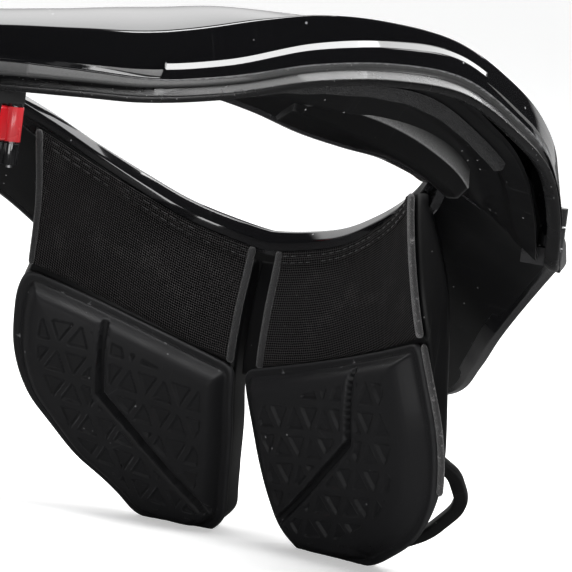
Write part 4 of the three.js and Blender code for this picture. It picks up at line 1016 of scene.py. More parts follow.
def raised(piece):
    """Moves the lever's slot and the lever up in the block, whose own ends stay."""
    flat = np.empty(len(piece.data.vertices) * 3)
    piece.data.vertices.foreach_get("co", flat)
    spots = flat.reshape(-1, 3)
    levels = (block_low.z, lever_low.z, lever_high.z, block_high.z)
    moved = (block_low.z, lever_low.z + LEVER_RAISE_LOW * MM, lever_high.z + LEVER_RAISE_HIGH * MM,
             block_high.z)
    spots[:, 2] = np.interp(spots[:, 2], levels, moved)
    piece.data.vertices.foreach_set("co", spots.ravel())
    piece.data.update()


block_piece = bevelled_copy("closure_block_moulding", "closure_block_left", 0.7)
stand_for(block_piece, "front", gloss_black, "satin_shell", "closure_block_left")
red_gloss = finish_material("red_lever_moulding", (0.6, 0.012, 0.02), (0.9, 0.5, 0.5), 0.22, rough_range=0.1,
                            coat=0.3, bump=0.01, scratch_bump=1.0, lint=0.05, grain=4.0, worn=0.15)
lever = bevelled_copy("release_lever_moulding", "release_lever_left", 0.5)
for piece in (block_piece, lever):
    raised(piece)
stand_for(lever, "lever", red_gloss, "red_lever", "release_lever_left")

# The chest plates: two satin black mouldings under the front of the collar that lie on the
# chest, thick at the middle of the body and thin at the sides, with rounded outer edges.
PLATE_HALF_WIDTH = 80
PLATE_TOP = 132
PLATE_WALL = 13
LAST_ROW = 9
PAD_ROW = 3

# Height as a share of PLATE_TOP, how far forward the chest lies as a share of
# NECK_HALF_DEPTH, and how far its sides wrap back as a share of PLATE_HALF_WIDTH.
CHEST_ROWS = [
    (0, 1.18, 0.19), (0.106, 1.128, 0.195), (0.258, 1.035, 0.2), (0.432, 0.965, 0.225),
    (0.583, 0.975, 0.31), (0.739, 1.02, 0.47), (1, 1.05, 0.66), (1.157, 1.06, 0.68),
]

# Row, its inner end sideways and in height, its outer end sideways and in height, and its
# sag: sideways as shares of PLATE_HALF_WIDTH, the rest as shares of PLATE_TOP.
PLATE_ROWS = [
    (0, 0.044, 0.72, 0.881, 0.981, 0.052), (1, 0.05, 0.652, 0.9, 0.864, 0.038),
    (2, 0.05, 0.545, 0.925, 0.739, 0.026), (3, 0.05, 0.447, 0.969, 0.623, 0.012),
    (4, 0.056, 0.364, 0.994, 0.515, 0.006), (5, 0.062, 0.28, 1.012, 0.413, 0),
    (6, 0.081, 0.197, 1.006, 0.307, 0), (7, 0.113, 0.114, 0.963, 0.201, 0),
    (8, 0.169, 0.042, 0.85, 0.098, 0.006), (9, 0.287, -0.015, 0.65, 0.008, 0.01),
]

# Row, and the plate's wall at its inner and its outer edge, as shares of PLATE_WALL.
PLATE_WALL_ROWS = [
    (0, 0.5, 0.5), (1, 0.8, 0.8), (2, 1, 1), (3, 1, 0.85), (4, 1, 0.7), (5, 1, 0.58), (6, 1, 0.5),
    (7, 1, 0.42), (8, 0.95, 0.36), (9, 0.8, 0.34),
]
read_chest = table_reader(CHEST_ROWS)
read_plate = table_reader(PLATE_ROWS)
read_plate_wall = table_reader(PLATE_WALL_ROWS)


def chest_surface(x, z):
    forward, wrap = read_chest(np.clip(z / PLATE_TOP, 0, 1.15))
    back = wrap * PLATE_HALF_WIDTH * (x / PLATE_HALF_WIDTH) ** 2
    return np.stack(np.broadcast_arrays(x, back - forward * NECK_HALF_DEPTH, z), -1)


def on_chest(sign, x, z, proud):
    """A point off the chest surface towards the wearer, in metres. sign 1 is the right plate."""
    here = chest_surface(x, z)
    across = chest_surface(x + 0.5, z) - here
    up = chest_surface(x, z + 0.5) - here
    normal = np.cross(up, across)
    normal /= np.linalg.norm(normal, axis=-1, keepdims=True)
    point = here + normal * np.asarray(proud)[..., None]
    point[..., 2] = np.maximum(point[..., 2], 0)
    return (point * (-sign, 1, 1) + (0, ORIGIN_FORWARD, 0)) * MM


# Row, and how far the left plate's outer corner is drawn in there, in mm.
LEFT_CUT_ROWS = [
    (0, -1.2), (1, 0.2), (2, 1.9), (2.8, 2.6), (3.1, 1.6), (3.5, 0), (4.4, 0), (5.2, 0.8),
    (5.9, 2.6), (6.3, 4.2), (6.7, 7.2), (7.2, 9.2), (7.6, 10.2), (8, 12.6), (8.5, 12.2), (9, 8.5),
]

# The same for its inner lower corner, which is fuller than the right plate's.
LEFT_FILL_ROWS = [(6.5, 0), (7.0, 0.6), (7.5, 1.8), (8, 3.8), (8.5, 5.0), (9, 5.0)]
read_left_cut = table_reader(LEFT_CUT_ROWS)
read_left_fill = table_reader(LEFT_FILL_ROWS)


def plate_row(row, margin, sign):
    """A row's two ends on the plate, sideways and in height, and its sag."""
    inner, inner_height, outer, outer_height, sag = read_plate(row)
    inner_x = inner * PLATE_HALF_WIDTH + margin
    outer_x = outer * PLATE_HALF_WIDTH - margin
    if sign < 0:
        outer_x = outer_x - read_left_cut(row)[0]
        inner_x = inner_x - read_left_fill(row)[0]
    return inner_x, inner_height * PLATE_TOP, outer_x, outer_height * PLATE_TOP, sag * PLATE_TOP


def plate_spot(row, share, margin, sign):
    """A place on a row, from its inner end (0) to its outer end (1), sideways and in height."""
    inner_x, inner_z, outer_x, outer_z, sag = plate_row(row, margin, sign)
    x = inner_x + (outer_x - inner_x) * share
    z = inner_z + (outer_z - inner_z) * share - 4 * share * (1 - share) * sag
    return x, z


def plate_slab(name, sign, rows, margin_at, depth_at, edge_cut):
    """A slab along the plate's rows from the seat down to a depth, with rounded long edges."""
    share = np.linspace(0, 1, 25)
    rings = []
    for row in rows:
        inner_x, inner_z, outer_x, outer_z, sag = plate_row(row, margin_at(row), sign)
        x = inner_x + (outer_x - inner_x) * share
        depth = depth_at(row, share)
        top = np.stack((x, np.zeros_like(x)), -1)
        low = np.stack((x, -depth), -1)[::-1]
        keep = [i for i in range(50) if i not in (1, 23, 26, 48)]
        cuts = [edge_cut if i in (0, 24, 25, 49) else 0 for i in keep]
        flat = rounded(np.concatenate((top, low))[None, keep], cuts, 5)[0]
        along = np.clip((flat[:, 0] - inner_x) / (outer_x - inner_x), 0, 1)
        z = inner_z + (outer_z - inner_z) * along - 4 * along * (1 - along) * sag
        rings.append(on_chest(sign, flat[:, 0], z, flat[:, 1]))
    return skin(name, np.array(rings), sharp_angle=45)


def plate_depth(row, share):
    """How thick the plate is along a row, a little less at the row's two ends."""
    inner, outer = read_plate_wall(row)
    edge = np.clip((np.abs(share - 0.5) * 2 - 0.85) / 0.15, 0, 1)
    return (inner + (outer - inner) * share) * PLATE_WALL * (1 - 0.18 * edge)


def collar_room():
    """The front half of the collar, from its underside up, which the plates keep clear of."""
    angle = np.linspace(96, 264, 85)
    at = collar_at(angle)
    inside = neck_radius(angle) - FIT_GAP
    band_base = at.rim - BAND_HEIGHT - FIT_GAP
    wall_base = np.minimum(at.sill - FIT_GAP, band_base - FIT_GAP)
    liner = [point - (0, FIT_GAP) for point in liner_corners(angle, False)[1:]]
    beyond = at.outer + 2 * SHELL_OVERHANG
    outline = corners(
        (inside, band_base), (at.inner - FIT_GAP, band_base), (at.inner - FIT_GAP, wall_base),
        (at.inner + SHELL_WALL, wall_base),
    )
    outline = np.concatenate((outline, np.stack(liner, 1), corners(
        (beyond, at.edge - FIT_GAP), (beyond, 300), (inside, 300))), 1)
    return skin("collar_room", round_neck(angle[:, None], outline[..., 0], outline[..., 1]))


PLATE_INSET = 0.7
FOOT_INSET = 2.2
FOOT_ROWS = 0.2
plate_rows = np.concatenate((np.linspace(0, LAST_ROW - FOOT_ROWS, 75),
                             [LAST_ROW - 0.1, LAST_ROW - 0.03, LAST_ROW]))


def foot_margin(row):
    """How far the plate's sides draw in towards its foot, which rounds the foot off."""
    return PLATE_INSET + FOOT_INSET * max(0.0, (row - (LAST_ROW - FOOT_ROWS)) / FOOT_ROWS) ** 2


for side, sign in (("right", 1), ("left", -1)):
    plate = plate_slab(f"chest_plate_{side}_moulding", sign, plate_rows, foot_margin, plate_depth, 2.2)
    carve(plate, collar_room(), sharp_angle=45)
    stand_for(plate, "front", satin_black, "satin_shell", f"chest_plate_{side}")

# The mesh panels: black spacer mesh with holes under a millimetre, stretched from the neck
# band down to the pads. Each has a folded hem along the band, stitched twice, and a woven
# binding tape down both sides.
PANEL_WALL = 1.5
SEAT_GAP = 0.4
PANEL_MARGIN = 2
PANEL_FOOT_ROW = 2.9
PANEL_INNER = 3.5
PANEL_OUTER = 71.0
PANEL_BULGE = 1.2
LEFT_FOOT_SPREAD = 1.6
PANEL_COLUMNS = 96
PANEL_ROWS = 80
HEM_DROP = 5.0
HEM_STITCH_LINES = (1.6, 3.9)
MESH_PITCH = 0.8


def band_height(x):
    """The height of the neck band's lower edge above a place across the chest."""
    place = np.arcsin(np.clip(x / NECK_HALF_WIDTH, -1, 1))
    angle = 180 - np.degrees(np.arctan2(NECK_HALF_WIDTH * np.sin(place), NECK_HALF_DEPTH * np.cos(place)))
    return collar_at(angle).rim - BAND_HEIGHT


def panel_spot(across, down, sign):
    """A place on a mesh panel: across from its inner to its outer edge, down from hem to foot."""
    top_x = PANEL_INNER + PANEL_MARGIN + (PANEL_OUTER - PANEL_INNER - PANEL_MARGIN) * across
    top_z = band_height(top_x) - FIT_GAP
    foot_x, foot_z = plate_spot(PANEL_FOOT_ROW, across, PANEL_MARGIN, sign)
    foot_x = foot_x + (LEFT_FOOT_SPREAD * across if sign < 0 else 0)
    bulge = PANEL_BULGE * across * np.sin(np.pi * down)
    return top_x + (foot_x - top_x) * down - bulge, top_z + (foot_z - top_z) * down


def build_mesh_weave():
    """Spacer mesh: rows of small holes, painted near black as shade, between lighter threads, with pale,
    dusty patches.
    """
    material, tree, shader = new_material("spacer_mesh", (0.02, 0.02, 0.02), 0.9)
    shader.inputs["Specular IOR Level"].default_value = 0.15
    laid = new_node(tree, "ShaderNodeUVMap", {"uv_map": "cloth_mm"})
    wobble = new_node(tree, "ShaderNodeTexNoise", {"noise_dimensions": "2D"}, _2=0.35, _3=2.0)
    wander = new_node(tree, "ShaderNodeVectorMath", {"operation": "MULTIPLY_ADD"}, _1=(0.22, 0.22, 0.0))
    split = new_node(tree, "ShaderNodeSeparateXYZ")
    threads = []
    for axis in (0, 1):
        turn = new_node(tree, "ShaderNodeMath", {"operation": "MULTIPLY"}, _1=math.pi / MESH_PITCH)
        wave = new_node(tree, "ShaderNodeMath", {"operation": "SINE"})
        size = new_node(tree, "ShaderNodeMath", {"operation": "ABSOLUTE"})
        wire(tree, (split.outputs[axis], turn.inputs[0]), (turn.outputs[0], wave.inputs[0]),
             (wave.outputs[0], size.inputs[0]))
        threads.append(size)
    both = new_node(tree, "ShaderNodeMath", {"operation": "MULTIPLY"})
    hole = new_node(tree, "ShaderNodeMapRange", {"interpolation_type": "SMOOTHSTEP"},
                    _1=0.06, _2=0.4, _3=0.0, _4=1.0)
    # The holes are painted near black: painted shade standing in for the depth of the openings.
    thread_tone_and_hole_shade = new_node(tree, "ShaderNodeMix", {"data_type": "RGBA"}, _6=(0.05, 0.047, 0.048, 1),
                           _7=(0.0004, 0.0004, 0.0004, 1))
    patches = new_node(tree, "ShaderNodeTexNoise", {"noise_dimensions": "2D"}, _2=0.07, _3=5.0, _4=0.7)
    pale = new_node(tree, "ShaderNodeMapRange", _1=0.55, _2=0.85, _3=0.0, _4=0.35)
    dusted = new_node(tree, "ShaderNodeMix", {"data_type": "RGBA"}, _7=(0.16, 0.155, 0.15, 1))
    solid_thread = new_node(tree, "ShaderNodeMath", {"operation": "SUBTRACT"}, _0=1.0)
    dust_share = new_node(tree, "ShaderNodeMath", {"operation": "MULTIPLY"})
    marks = new_node(tree, "ShaderNodeGroup", {"node_tree": marks_group})
    marks.inputs["Lint Amount"].default_value = 0.12
    marks.inputs["Lint Size"].default_value = 2.2
    any_dust = new_node(tree, "ShaderNodeMath", {"operation": "MAXIMUM"})
    faint_lint = new_node(tree, "ShaderNodeMath", {"operation": "MULTIPLY"}, _1=0.8)
    relief = new_node(tree, "ShaderNodeBump", {"invert": True}, _0=1.0)
    relief.inputs["Distance"].default_value = 0.22 * MM
    wire(tree, (laid.outputs[0], wobble.inputs["Vector"]), (wobble.outputs["Color"], wander.inputs[0]),
         (laid.outputs[0], wander.inputs[2]), (wander.outputs[0], split.inputs[0]),
         (threads[0].outputs[0], both.inputs[0]), (threads[1].outputs[0], both.inputs[1]),
         (both.outputs[0], hole.inputs[0]), (hole.outputs[0], thread_tone_and_hole_shade.inputs[0]),
         (laid.outputs[0], patches.inputs["Vector"]), (patches.outputs[0], pale.inputs[0]),
         (hole.outputs[0], solid_thread.inputs[1]), (marks.outputs["Lint"], faint_lint.inputs[0]),
         (pale.outputs[0], any_dust.inputs[0]), (faint_lint.outputs[0], any_dust.inputs[1]),
         (any_dust.outputs[0], dust_share.inputs[0]), (solid_thread.outputs[0], dust_share.inputs[1]),
         (thread_tone_and_hole_shade.outputs[2], dusted.inputs[6]), (dust_share.outputs[0], dusted.inputs[0]),
         (dusted.outputs[2], shader.inputs["Base Color"]), (hole.outputs[0], relief.inputs["Height"]),
         (relief.outputs[0], shader.inputs["Normal"]))
    return material


def build_tape_finish(name, dark, light, fleck):
    """Woven polyester tape: fine ribs across it, and light flecks for fuzz and lint caught on its edges,
    which on the lighter tape also stand for painted glints.
    """
    material, tree, shader = new_material(name, dark, 0.85)
    shader.inputs["Sheen Weight"].default_value = 0.3
    place = new_node(tree, "ShaderNodeTexCoord")
    ribs = new_node(tree, "ShaderNodeTexNoise", _2=2600.0, _3=2.0)
    fluff = new_node(tree, "ShaderNodeTexNoise", _2=520.0, _3=6.0, _4=0.75)
    caught = new_node(tree, "ShaderNodeMapRange", _1=fleck, _2=fleck + 0.16, _3=0.0, _4=1.0)
    tone = new_node(tree, "ShaderNodeMix", {"data_type": "RGBA"}, _6=(*dark, 1), _7=(*light, 1))
    height = new_node(tree, "ShaderNodeMath", {"operation": "ADD"})
    relief = new_node(tree, "ShaderNodeBump", _0=1.0)
    relief.inputs["Distance"].default_value = 0.35 * MM
    wire(tree, (place.outputs["Object"], ribs.inputs["Vector"]),
         (place.outputs["Object"], fluff.inputs["Vector"]),
         (fluff.outputs[0], caught.inputs[0]), (caught.outputs[0], tone.inputs[0]),
         (tone.outputs[2], shader.inputs["Base Color"]), (ribs.outputs[0], height.inputs[0]),
         (fluff.outputs[0], height.inputs[1]), (height.outputs[0], relief.inputs["Height"]),
         (relief.outputs[0], shader.inputs["Normal"]))
    return material


spacer_mesh = build_mesh_weave()
# The fuzzy tape on the right is a lighter copy of the plain one: fuzz and lint, and its lighter tone and
# flecks are also painted sheen and glints.
sheen_and_fuzz_tape = build_tape_finish("sheen_and_fuzz_binding_tape", (0.03, 0.029, 0.03), (0.36, 0.35, 0.35), 0.56)
plain_tape = build_tape_finish("plain_binding_tape", (0.014, 0.014, 0.015), (0.15, 0.15, 0.15), 0.62)


def mesh_panel(name, sign):
    """The panel as a closed cloth wall, thicker along the hem, with its cloth laid out in mm."""
    across, down = np.meshgrid(np.linspace(0, 1, PANEL_COLUMNS), np.linspace(0, 1, PANEL_ROWS))
    x, z = panel_spot(across, down, sign)
    below_hem = panel_spot(across, 0 * down, sign)[1] - z
    hem = 1 - ease(below_hem, HEM_DROP - 0.6, HEM_DROP)
    stitch_dip = sum(np.exp(-((below_hem - line) / 0.35) ** 2) for line in HEM_STITCH_LINES)
    edge = ease(np.minimum(across, 1 - across), 0, 0.03) * ease(1 - down, 0, 0.03)
    pucker = 0.22 * np.sin(x * 0.9 + 1.3 * sign) * np.exp(-below_hem / 9) + 0.3 * np.sin(x * 0.16 + z * 0.11)
    lift = SEAT_GAP + PANEL_WALL * (0.45 + 0.55 * edge) + 0.45 * hem - 0.3 * stitch_dip + pucker * edge
    front = on_chest(sign, x, z, lift)
    back = on_chest(sign, x, z, np.full_like(x, SEAT_GAP) + (pucker * edge).clip(0, 1))
    points = np.concatenate((front.reshape(-1, 3), back.reshape(-1, 3)))
    grid = np.arange(x.size).reshape(x.shape)
    faces = []
    for layer in (grid, (grid + grid.size)[:, ::-1]):
        quads = np.stack((layer[:-1, :-1], layer[1:, :-1], layer[1:, 1:], layer[:-1, 1:]), -1)
        faces += quads.reshape(-1, 4).tolist()
    rim = np.concatenate((grid[0, :-1], grid[:-1, -1], grid[-1, :0:-1], grid[:0:-1, 0]))
    for here, there in zip(rim, np.roll(rim, -1)):
        faces.append((int(here), int(there), int(there + grid.size), int(here + grid.size)))
    panel = make_mesh(name, points, faces, 60)
    step_across = np.linalg.norm(np.diff(front, axis=1, prepend=front[:, :1]), axis=2) / MM
    step_down = np.linalg.norm(np.diff(front, axis=0, prepend=front[:1]), axis=2) / MM
    laid = np.stack((np.cumsum(step_across, 1), np.cumsum(step_down, 0)), -1).reshape(-1, 2)
    laid = np.concatenate((laid, laid))
    layer = panel.data.uv_layers.new(name="cloth_mm")
    corner_points = np.empty(len(panel.data.loops), int)
    panel.data.loops.foreach_get("vertex_index", corner_points)
    layer.data.foreach_set("uv", laid[corner_points].astype(np.float32).ravel())
    flat_size = (float(step_across.sum(1).mean()) * MM, float(step_down.sum(0).mean()) * MM)
    return panel, flat_size


def tape(name, sign, x, z, proud, width, thickness, material):
    """A tape along a route on the chest surface, with a flattened round section."""
    along = np.stack((np.gradient(x), np.gradient(z)), -1)
    along /= np.linalg.norm(along, axis=1, keepdims=True)
    turn = np.linspace(0, 2 * np.pi, 12, endpoint=False)
    flatten = np.sign(np.cos(turn)) * np.abs(np.cos(turn)) ** 0.6
    ends = np.sqrt(np.clip(np.minimum(np.arange(len(x)), np.arange(len(x))[::-1]) / 2 + 0.25, 0, 1))[:, None]
    offset = flatten * width / 2 * ends
    height = np.sin(turn) * thickness / 2 * ends
    ring_x = x[:, None] - along[:, 1:] * offset
    ring_z = z[:, None] + along[:, :1] * offset
    piece = skin(name, on_chest(sign, ring_x, ring_z, proud + height), sharp_angle=70)
    stand_for(piece, "front", material, "black_mesh")


STITCH_LENGTH = 2.4
STITCH_GAP = 0.9
THREAD_RADIUS = 0.17
FIBRE_RADIUS = 0.035


def stitches(name, sign, x, z, proud):
    """A row of thread stitches along a route on the chest surface, in one mesh."""
    place = np.concatenate(([0], np.cumsum(np.hypot(np.diff(x), np.diff(z)))))
    points, faces = [], []
    turn = np.linspace(0, 2 * np.pi, 5, endpoint=False)
    for start in np.arange(0.5, place[-1] - STITCH_LENGTH, STITCH_LENGTH + STITCH_GAP):
        share = np.linspace(0, 1, 6)
        spot = start + share * STITCH_LENGTH
        at_x, at_z = (np.interp(spot, place, line) for line in (x, z))
        at_proud = np.interp(spot, place, proud) + 0.28 * np.sin(np.pi * share) - 0.08
        base = len(points)
        direction = np.array((at_x[-1] - at_x[0], at_z[-1] - at_z[0])) / STITCH_LENGTH
        thick = THREAD_RADIUS * np.sqrt(np.clip(np.sin(np.pi * (0.06 + 0.88 * share)), 0.2, 1))
        ring_x = at_x[:, None] - direction[1] * np.cos(turn) * thick[:, None]
        ring_z = at_z[:, None] + direction[0] * np.cos(turn) * thick[:, None]
        ring_proud = at_proud[:, None] + np.sin(turn) * thick[:, None]
        points += on_chest(sign, ring_x, ring_z, ring_proud).reshape(-1, 3).tolist()
        for ring in range(5):
            here, there = base + ring * 5, base + ring * 5 + 5
            faces += [(here + i, here + (i + 1) % 5, there + (i + 1) % 5, there + i) for i in range(5)]
        faces += [tuple(base + i for i in range(5))[::-1], tuple(base + 25 + i for i in range(5))]
    return make_mesh(name, points, faces, 80)


def fibres(name, sign, x, z, proud, count, length, seed, spread):
    """Loose fibres that stand off a route on the chest surface, in one mesh."""
    draw = np.random.default_rng(seed)
    place = np.concatenate(([0], np.cumsum(np.hypot(np.diff(x), np.diff(z)))))
    points, faces = [], []
    turn = np.linspace(0, 2 * np.pi, 3, endpoint=False)
    for _ in range(count):
        start = draw.uniform(0, place[-1])
        heading = draw.uniform(0, 2 * np.pi)
        curl = draw.normal(0, 1.6)
        reach = length * draw.uniform(0.4, 1)
        rise = draw.uniform(0.2, 0.9)
        share = np.linspace(0, 1, 5)
        way = heading + curl * share
        at_x = np.interp(start, place, x) + draw.normal(0, spread) + np.cumsum(np.cos(way)) * reach / 5
        at_z = np.interp(start, place, z) + draw.normal(0, spread) + np.cumsum(np.sin(way)) * reach / 5
        at_proud = proud + rise * np.sin(np.pi * share * 0.7) * reach * 0.5
        thick = FIBRE_RADIUS * (1 - 0.6 * share)
        base = len(points)
        ring_x = at_x[:, None] + np.cos(turn) * thick[:, None]
        ring_z = at_z[:, None] + np.sin(turn) * thick[:, None] * 0.5
        ring_proud = at_proud[:, None] + np.sin(turn) * thick[:, None]
        points += on_chest(sign, ring_x, ring_z, ring_proud).reshape(-1, 3).tolist()
        for ring in range(4):
            here, there = base + ring * 3, base + ring * 3 + 3
            faces += [(here + i, here + (i + 1) % 3, there + (i + 1) % 3, there + i) for i in range(3)]
        faces += [(base + 2, base + 1, base), (base + 12, base + 13, base + 14)]
    return make_mesh(name, points, faces, 80)


def panel_edge(across, sign):
    """A line down the panel, at its inner edge (0) or its outer edge (1)."""
    down = np.linspace(0, 1, 90)
    return panel_spot(np.full(90, across), down, sign)


panel_face = SEAT_GAP + PANEL_WALL
for side, sign in (("right", 1), ("left", -1)):
    panel, flat_size = mesh_panel(f"mesh_panel_{side}_cloth", sign)
    stand_for(panel, "front", spacer_mesh, "black_mesh", f"mesh_panel_{side}")
    for drop in HEM_STITCH_LINES:
        share = np.linspace(0.02, 0.98, 160)
        hem_x, hem_z = panel_spot(share, 0 * share, sign)
        row = stitches(f"hem_stitches_{side}_{int(drop)}", sign, hem_x, hem_z - drop,
                       0 * share + panel_face + 0.3)
        stand_for(row, "front", plain_tape, "black_mesh")
    edge_x, edge_z = panel_edge(0.0, sign)
    tape(f"inner_binding_{side}", sign, edge_x - 0.2, edge_z, panel_face - 0.25, 2.6, 1.5, plain_tape)
    edge_x, edge_z = panel_edge(1.0, sign)
    outer_width, outer_tape = (3.2, sheen_and_fuzz_tape) if side == "right" else (1.6, plain_tape)
    tape(f"outer_binding_{side}", sign, edge_x + 0.3, edge_z, panel_face - 0.35, outer_width, 1.8,
         outer_tape)
    fluff = fibres(f"binding_fluff_{side}", sign, edge_x, edge_z, panel_face, 150, 2.2, 11 + sign, 0.9)
    stand_for(fluff, "front", sheen_and_fuzz_tape, "black_mesh")

# The chest pads: closed-cell foam pressed into a thin flange, steep walls and a crowned field,
# glued to the plates. A bent groove is pressed across each, and the fields beside it carry
# rows of shallow triangles that point up and down in turn.
PAD_FOOT_ROW = 8.97
PAD_FACE = 9.05
PAD_CROWN = 0.9
FIELD_ACROSS = 170
FIELD_DOWN = 180
CORNER_ROUNDING = 2.6
SWELL_WIDTH = 13
GROOVE_HALF_WIDTH = 1.3
GROOVE_DEPTH = 4.5
GROOVE_SIDE_DIP = 0.35
GROOVE_CLEARANCE = 2.0
GROOVE_CORNERS = ((50, 67.3), (50, 45.5), (14, 9.9), (4, 0))
TRIANGLE_PITCH = 6.5
TRIANGLE_ROW = 9.2
TRIANGLE_SIDE = 7.5
TRIANGLE_HEIGHT = 6.8
TRIANGLE_DEPTH = 0.9
TRIANGLE_MARGIN = 1.2
MITRE_SHARPNESS = 16
TRIANGLE_SLOPE = 7

# Row, and how far the pad's inner and outer edges lie inside the plate's, right and left.
PAD_EDGE_ROWS = {
    1: [(3, -3.6, 2.6), (3.5, -3.2, 1.8), (4, -2.4, 0.6), (4.6, -1.2, -0.8), (5.4, -0.5, -1.8),
        (6.4, -0.4, -2.4), (7.4, -0.4, -2), (9, -0.4, -0.4)],
    -1: [(3, -0.4, -0.4), (9, -0.4, -0.4)],
}

# How wide the walls are at the top, the outer edge, the foot and the inner edge of each pad.
WALL_WIDTHS = {1: (5.5, 10, 6, 5), -1: (5.5, 5.5, 5, 5)}

# How far in from the outline and how high the flange's rings lie, and the wall's height by a
# share of its width.
FLANGE_RINGS = [(0.6, 0.4), (0.12, 0.75), (0, 1.3), (0.08, 2.0), (0.45, 2.55), (1.0, 2.8), (1.8, 2.82),
                (2.4, 2.8)]
WALL_PROFILE = [(0, 2.8), (0.06, 3.0), (0.13, 3.6), (0.22, 4.8), (0.33, 6.1), (0.45, 7.2), (0.58, 8.0),
                (0.7, 8.5), (0.84, 8.85), (1.0, 9.05), (1.3, 9.05)]


def spread_evenly(points, count, closed=False):
    """Resamples a line of points to count points a like distance apart."""
    line = np.vstack((points, points[:1])) if closed else points
    place = np.concatenate(([0], np.cumsum(np.linalg.norm(np.diff(line, axis=0), axis=1))))
    target = np.linspace(0, place[-1], count, endpoint=not closed)
    return np.stack([np.interp(target, place, line[:, axis]) for axis in range(line.shape[1])], 1)


def smooth_loop(values, sigma):
    """Smooths values round a closed loop, sigma in steps."""
    reach = np.minimum(np.arange(len(values)), len(values) - np.arange(len(values)))
    kernel = np.exp(-0.5 * (reach / sigma) ** 2)
    kernel = np.fft.rfft(kernel / kernel.sum())[(...,) + (None,) * (values.ndim - 1)]
    return np.fft.irfft(np.fft.rfft(values, axis=0) * kernel, len(values), axis=0)


def pad_border(sign):
    """The pad's outline from its upper inner corner, and its inward directions."""
    share = np.linspace(0, 1, 200)
    read_edges = table_reader(PAD_EDGE_ROWS[sign])

    def spot(row, place):
        inner, outer = read_edges(row)
        x, z = plate_spot(row, place, 0.0, sign)
        return np.stack((x + inner * (1 - place) - outer * place, z), 1)

    rows = PAD_ROW + (PAD_FOOT_ROW - PAD_ROW) * share
    sides = [spot(PAD_ROW + 0 * share, share), spot(rows, 1.0 + 0 * share),
             spot(PAD_FOOT_ROW + 0 * share, 1 - share), spot(rows[::-1], 0 * share)]
    lengths = [np.linalg.norm(np.diff(line, axis=0), axis=1).sum() for line in sides]
    fine = 1200
    loop = spread_evenly(np.vstack([line[:-1] for line in sides]), fine, closed=True)
    per_mm = fine / sum(lengths)
    loop = smooth_loop(loop, CORNER_ROUNDING * per_mm)
    edge_marks = np.concatenate(([0], np.cumsum(lengths))) * per_mm
    tangent = np.roll(loop, -1, 0) - np.roll(loop, 1, 0)
    inward = np.stack((tangent[:, 1], -tangent[:, 0]), 1)
    inward = smooth_loop(inward / np.linalg.norm(inward, axis=1, keepdims=True), 1.5 * per_mm)
    inward /= np.linalg.norm(inward, axis=1, keepdims=True)
    picks = []
    for start, end, count in zip(edge_marks, edge_marks[1:], 2 * (FIELD_ACROSS, FIELD_DOWN)):
        picks.append(np.linspace(start, end, count, endpoint=False))
    picks = np.concatenate(picks)
    table = np.concatenate((loop, inward), 1)
    table = np.vstack((table, table[:1]))
    read = np.stack([np.interp(picks, np.arange(fine + 1), table[:, column]) for column in range(4)], 1)
    return read[:, :2], read[:, 2:]


def patch_inside(border):
    """A grid of points that fills a closed border of four sides."""
    across, down = FIELD_ACROSS, FIELD_DOWN
    loop = np.vstack((border, border[:1]))
    top = loop[:across + 1]
    outer = loop[across:across + down + 1]
    foot = loop[across + down:2 * across + down + 1][::-1]
    inner = loop[2 * across + down:][::-1]
    u = np.linspace(0, 1, across + 1)[None, :, None]
    v = np.linspace(0, 1, down + 1)[:, None, None]
    flat = (1 - v) * top[None] + v * foot[None] + (1 - u) * inner[:, None] + u * outer[:, None]
    flat -= (1 - u) * (1 - v) * top[0] + u * (1 - v) * top[-1] + (1 - u) * v * foot[0] + u * v * foot[-1]
    return flat


def groove_distance(spots):
    """How far spots lie outside the groove's edge, less than 0 inside it."""
    route = np.array(GROOVE_CORNERS, float)
    nearest = np.full(spots.shape[:-1], np.inf)
    for start, end in zip(route[:-1], route[1:]):
        span = end - start
        share = np.clip(((spots - start) @ span) / (span @ span), 0, 1)
        nearest = np.minimum(nearest, np.linalg.norm(spots - start - share[..., None] * span, axis=-1))
    return nearest - GROOVE_HALF_WIDTH


def triangle_distance(spots):
    """How far spots lie outside the nearest pressed triangle, less than 0 inside it."""
    slope = np.radians(TRIANGLE_SLOPE)
    along = spots[..., 0] * np.cos(slope) + spots[..., 1] * np.sin(slope)
    up = -spots[..., 0] * np.sin(slope) + spots[..., 1] * np.cos(slope)
    row = np.round(up / TRIANGLE_ROW)
    rise = up - row * TRIANGLE_ROW
    middle = np.round(along / TRIANGLE_PITCH)
    lean = np.hypot(TRIANGLE_HEIGHT, TRIANGLE_SIDE / 2)
    nearest = np.full(along.shape, np.inf)
    for step in (-1, 0, 1):
        column = middle + step
        points_up = np.where((column + row) % 2 == 0, 1, -1)
        beside = np.abs(along - column * TRIANGLE_PITCH)
        slanted = (TRIANGLE_HEIGHT * beside
                   + TRIANGLE_SIDE / 2 * (points_up * rise - TRIANGLE_HEIGHT / 2)) / lean
        flat = -points_up * rise - TRIANGLE_HEIGHT / 2
        nearest = np.minimum(nearest, np.maximum(slanted, flat))
    return nearest


def snap(spots, distance, levels, reach):
    """Moves spots that lie close to an edge on to it, so that the edge stays clean."""
    step = 0.02
    value = distance(spots)
    slope = np.stack([(distance(spots + np.array(shift)) - value) / step
                      for shift in ((step, 0), (0, step))], -1)
    slope /= np.linalg.norm(slope, axis=-1, keepdims=True) + 1e-9
    for level in levels:
        near = np.abs(value - level) < reach
        spots = np.where(near[..., None], spots - (value - level)[..., None] * slope, spots)
    return spots


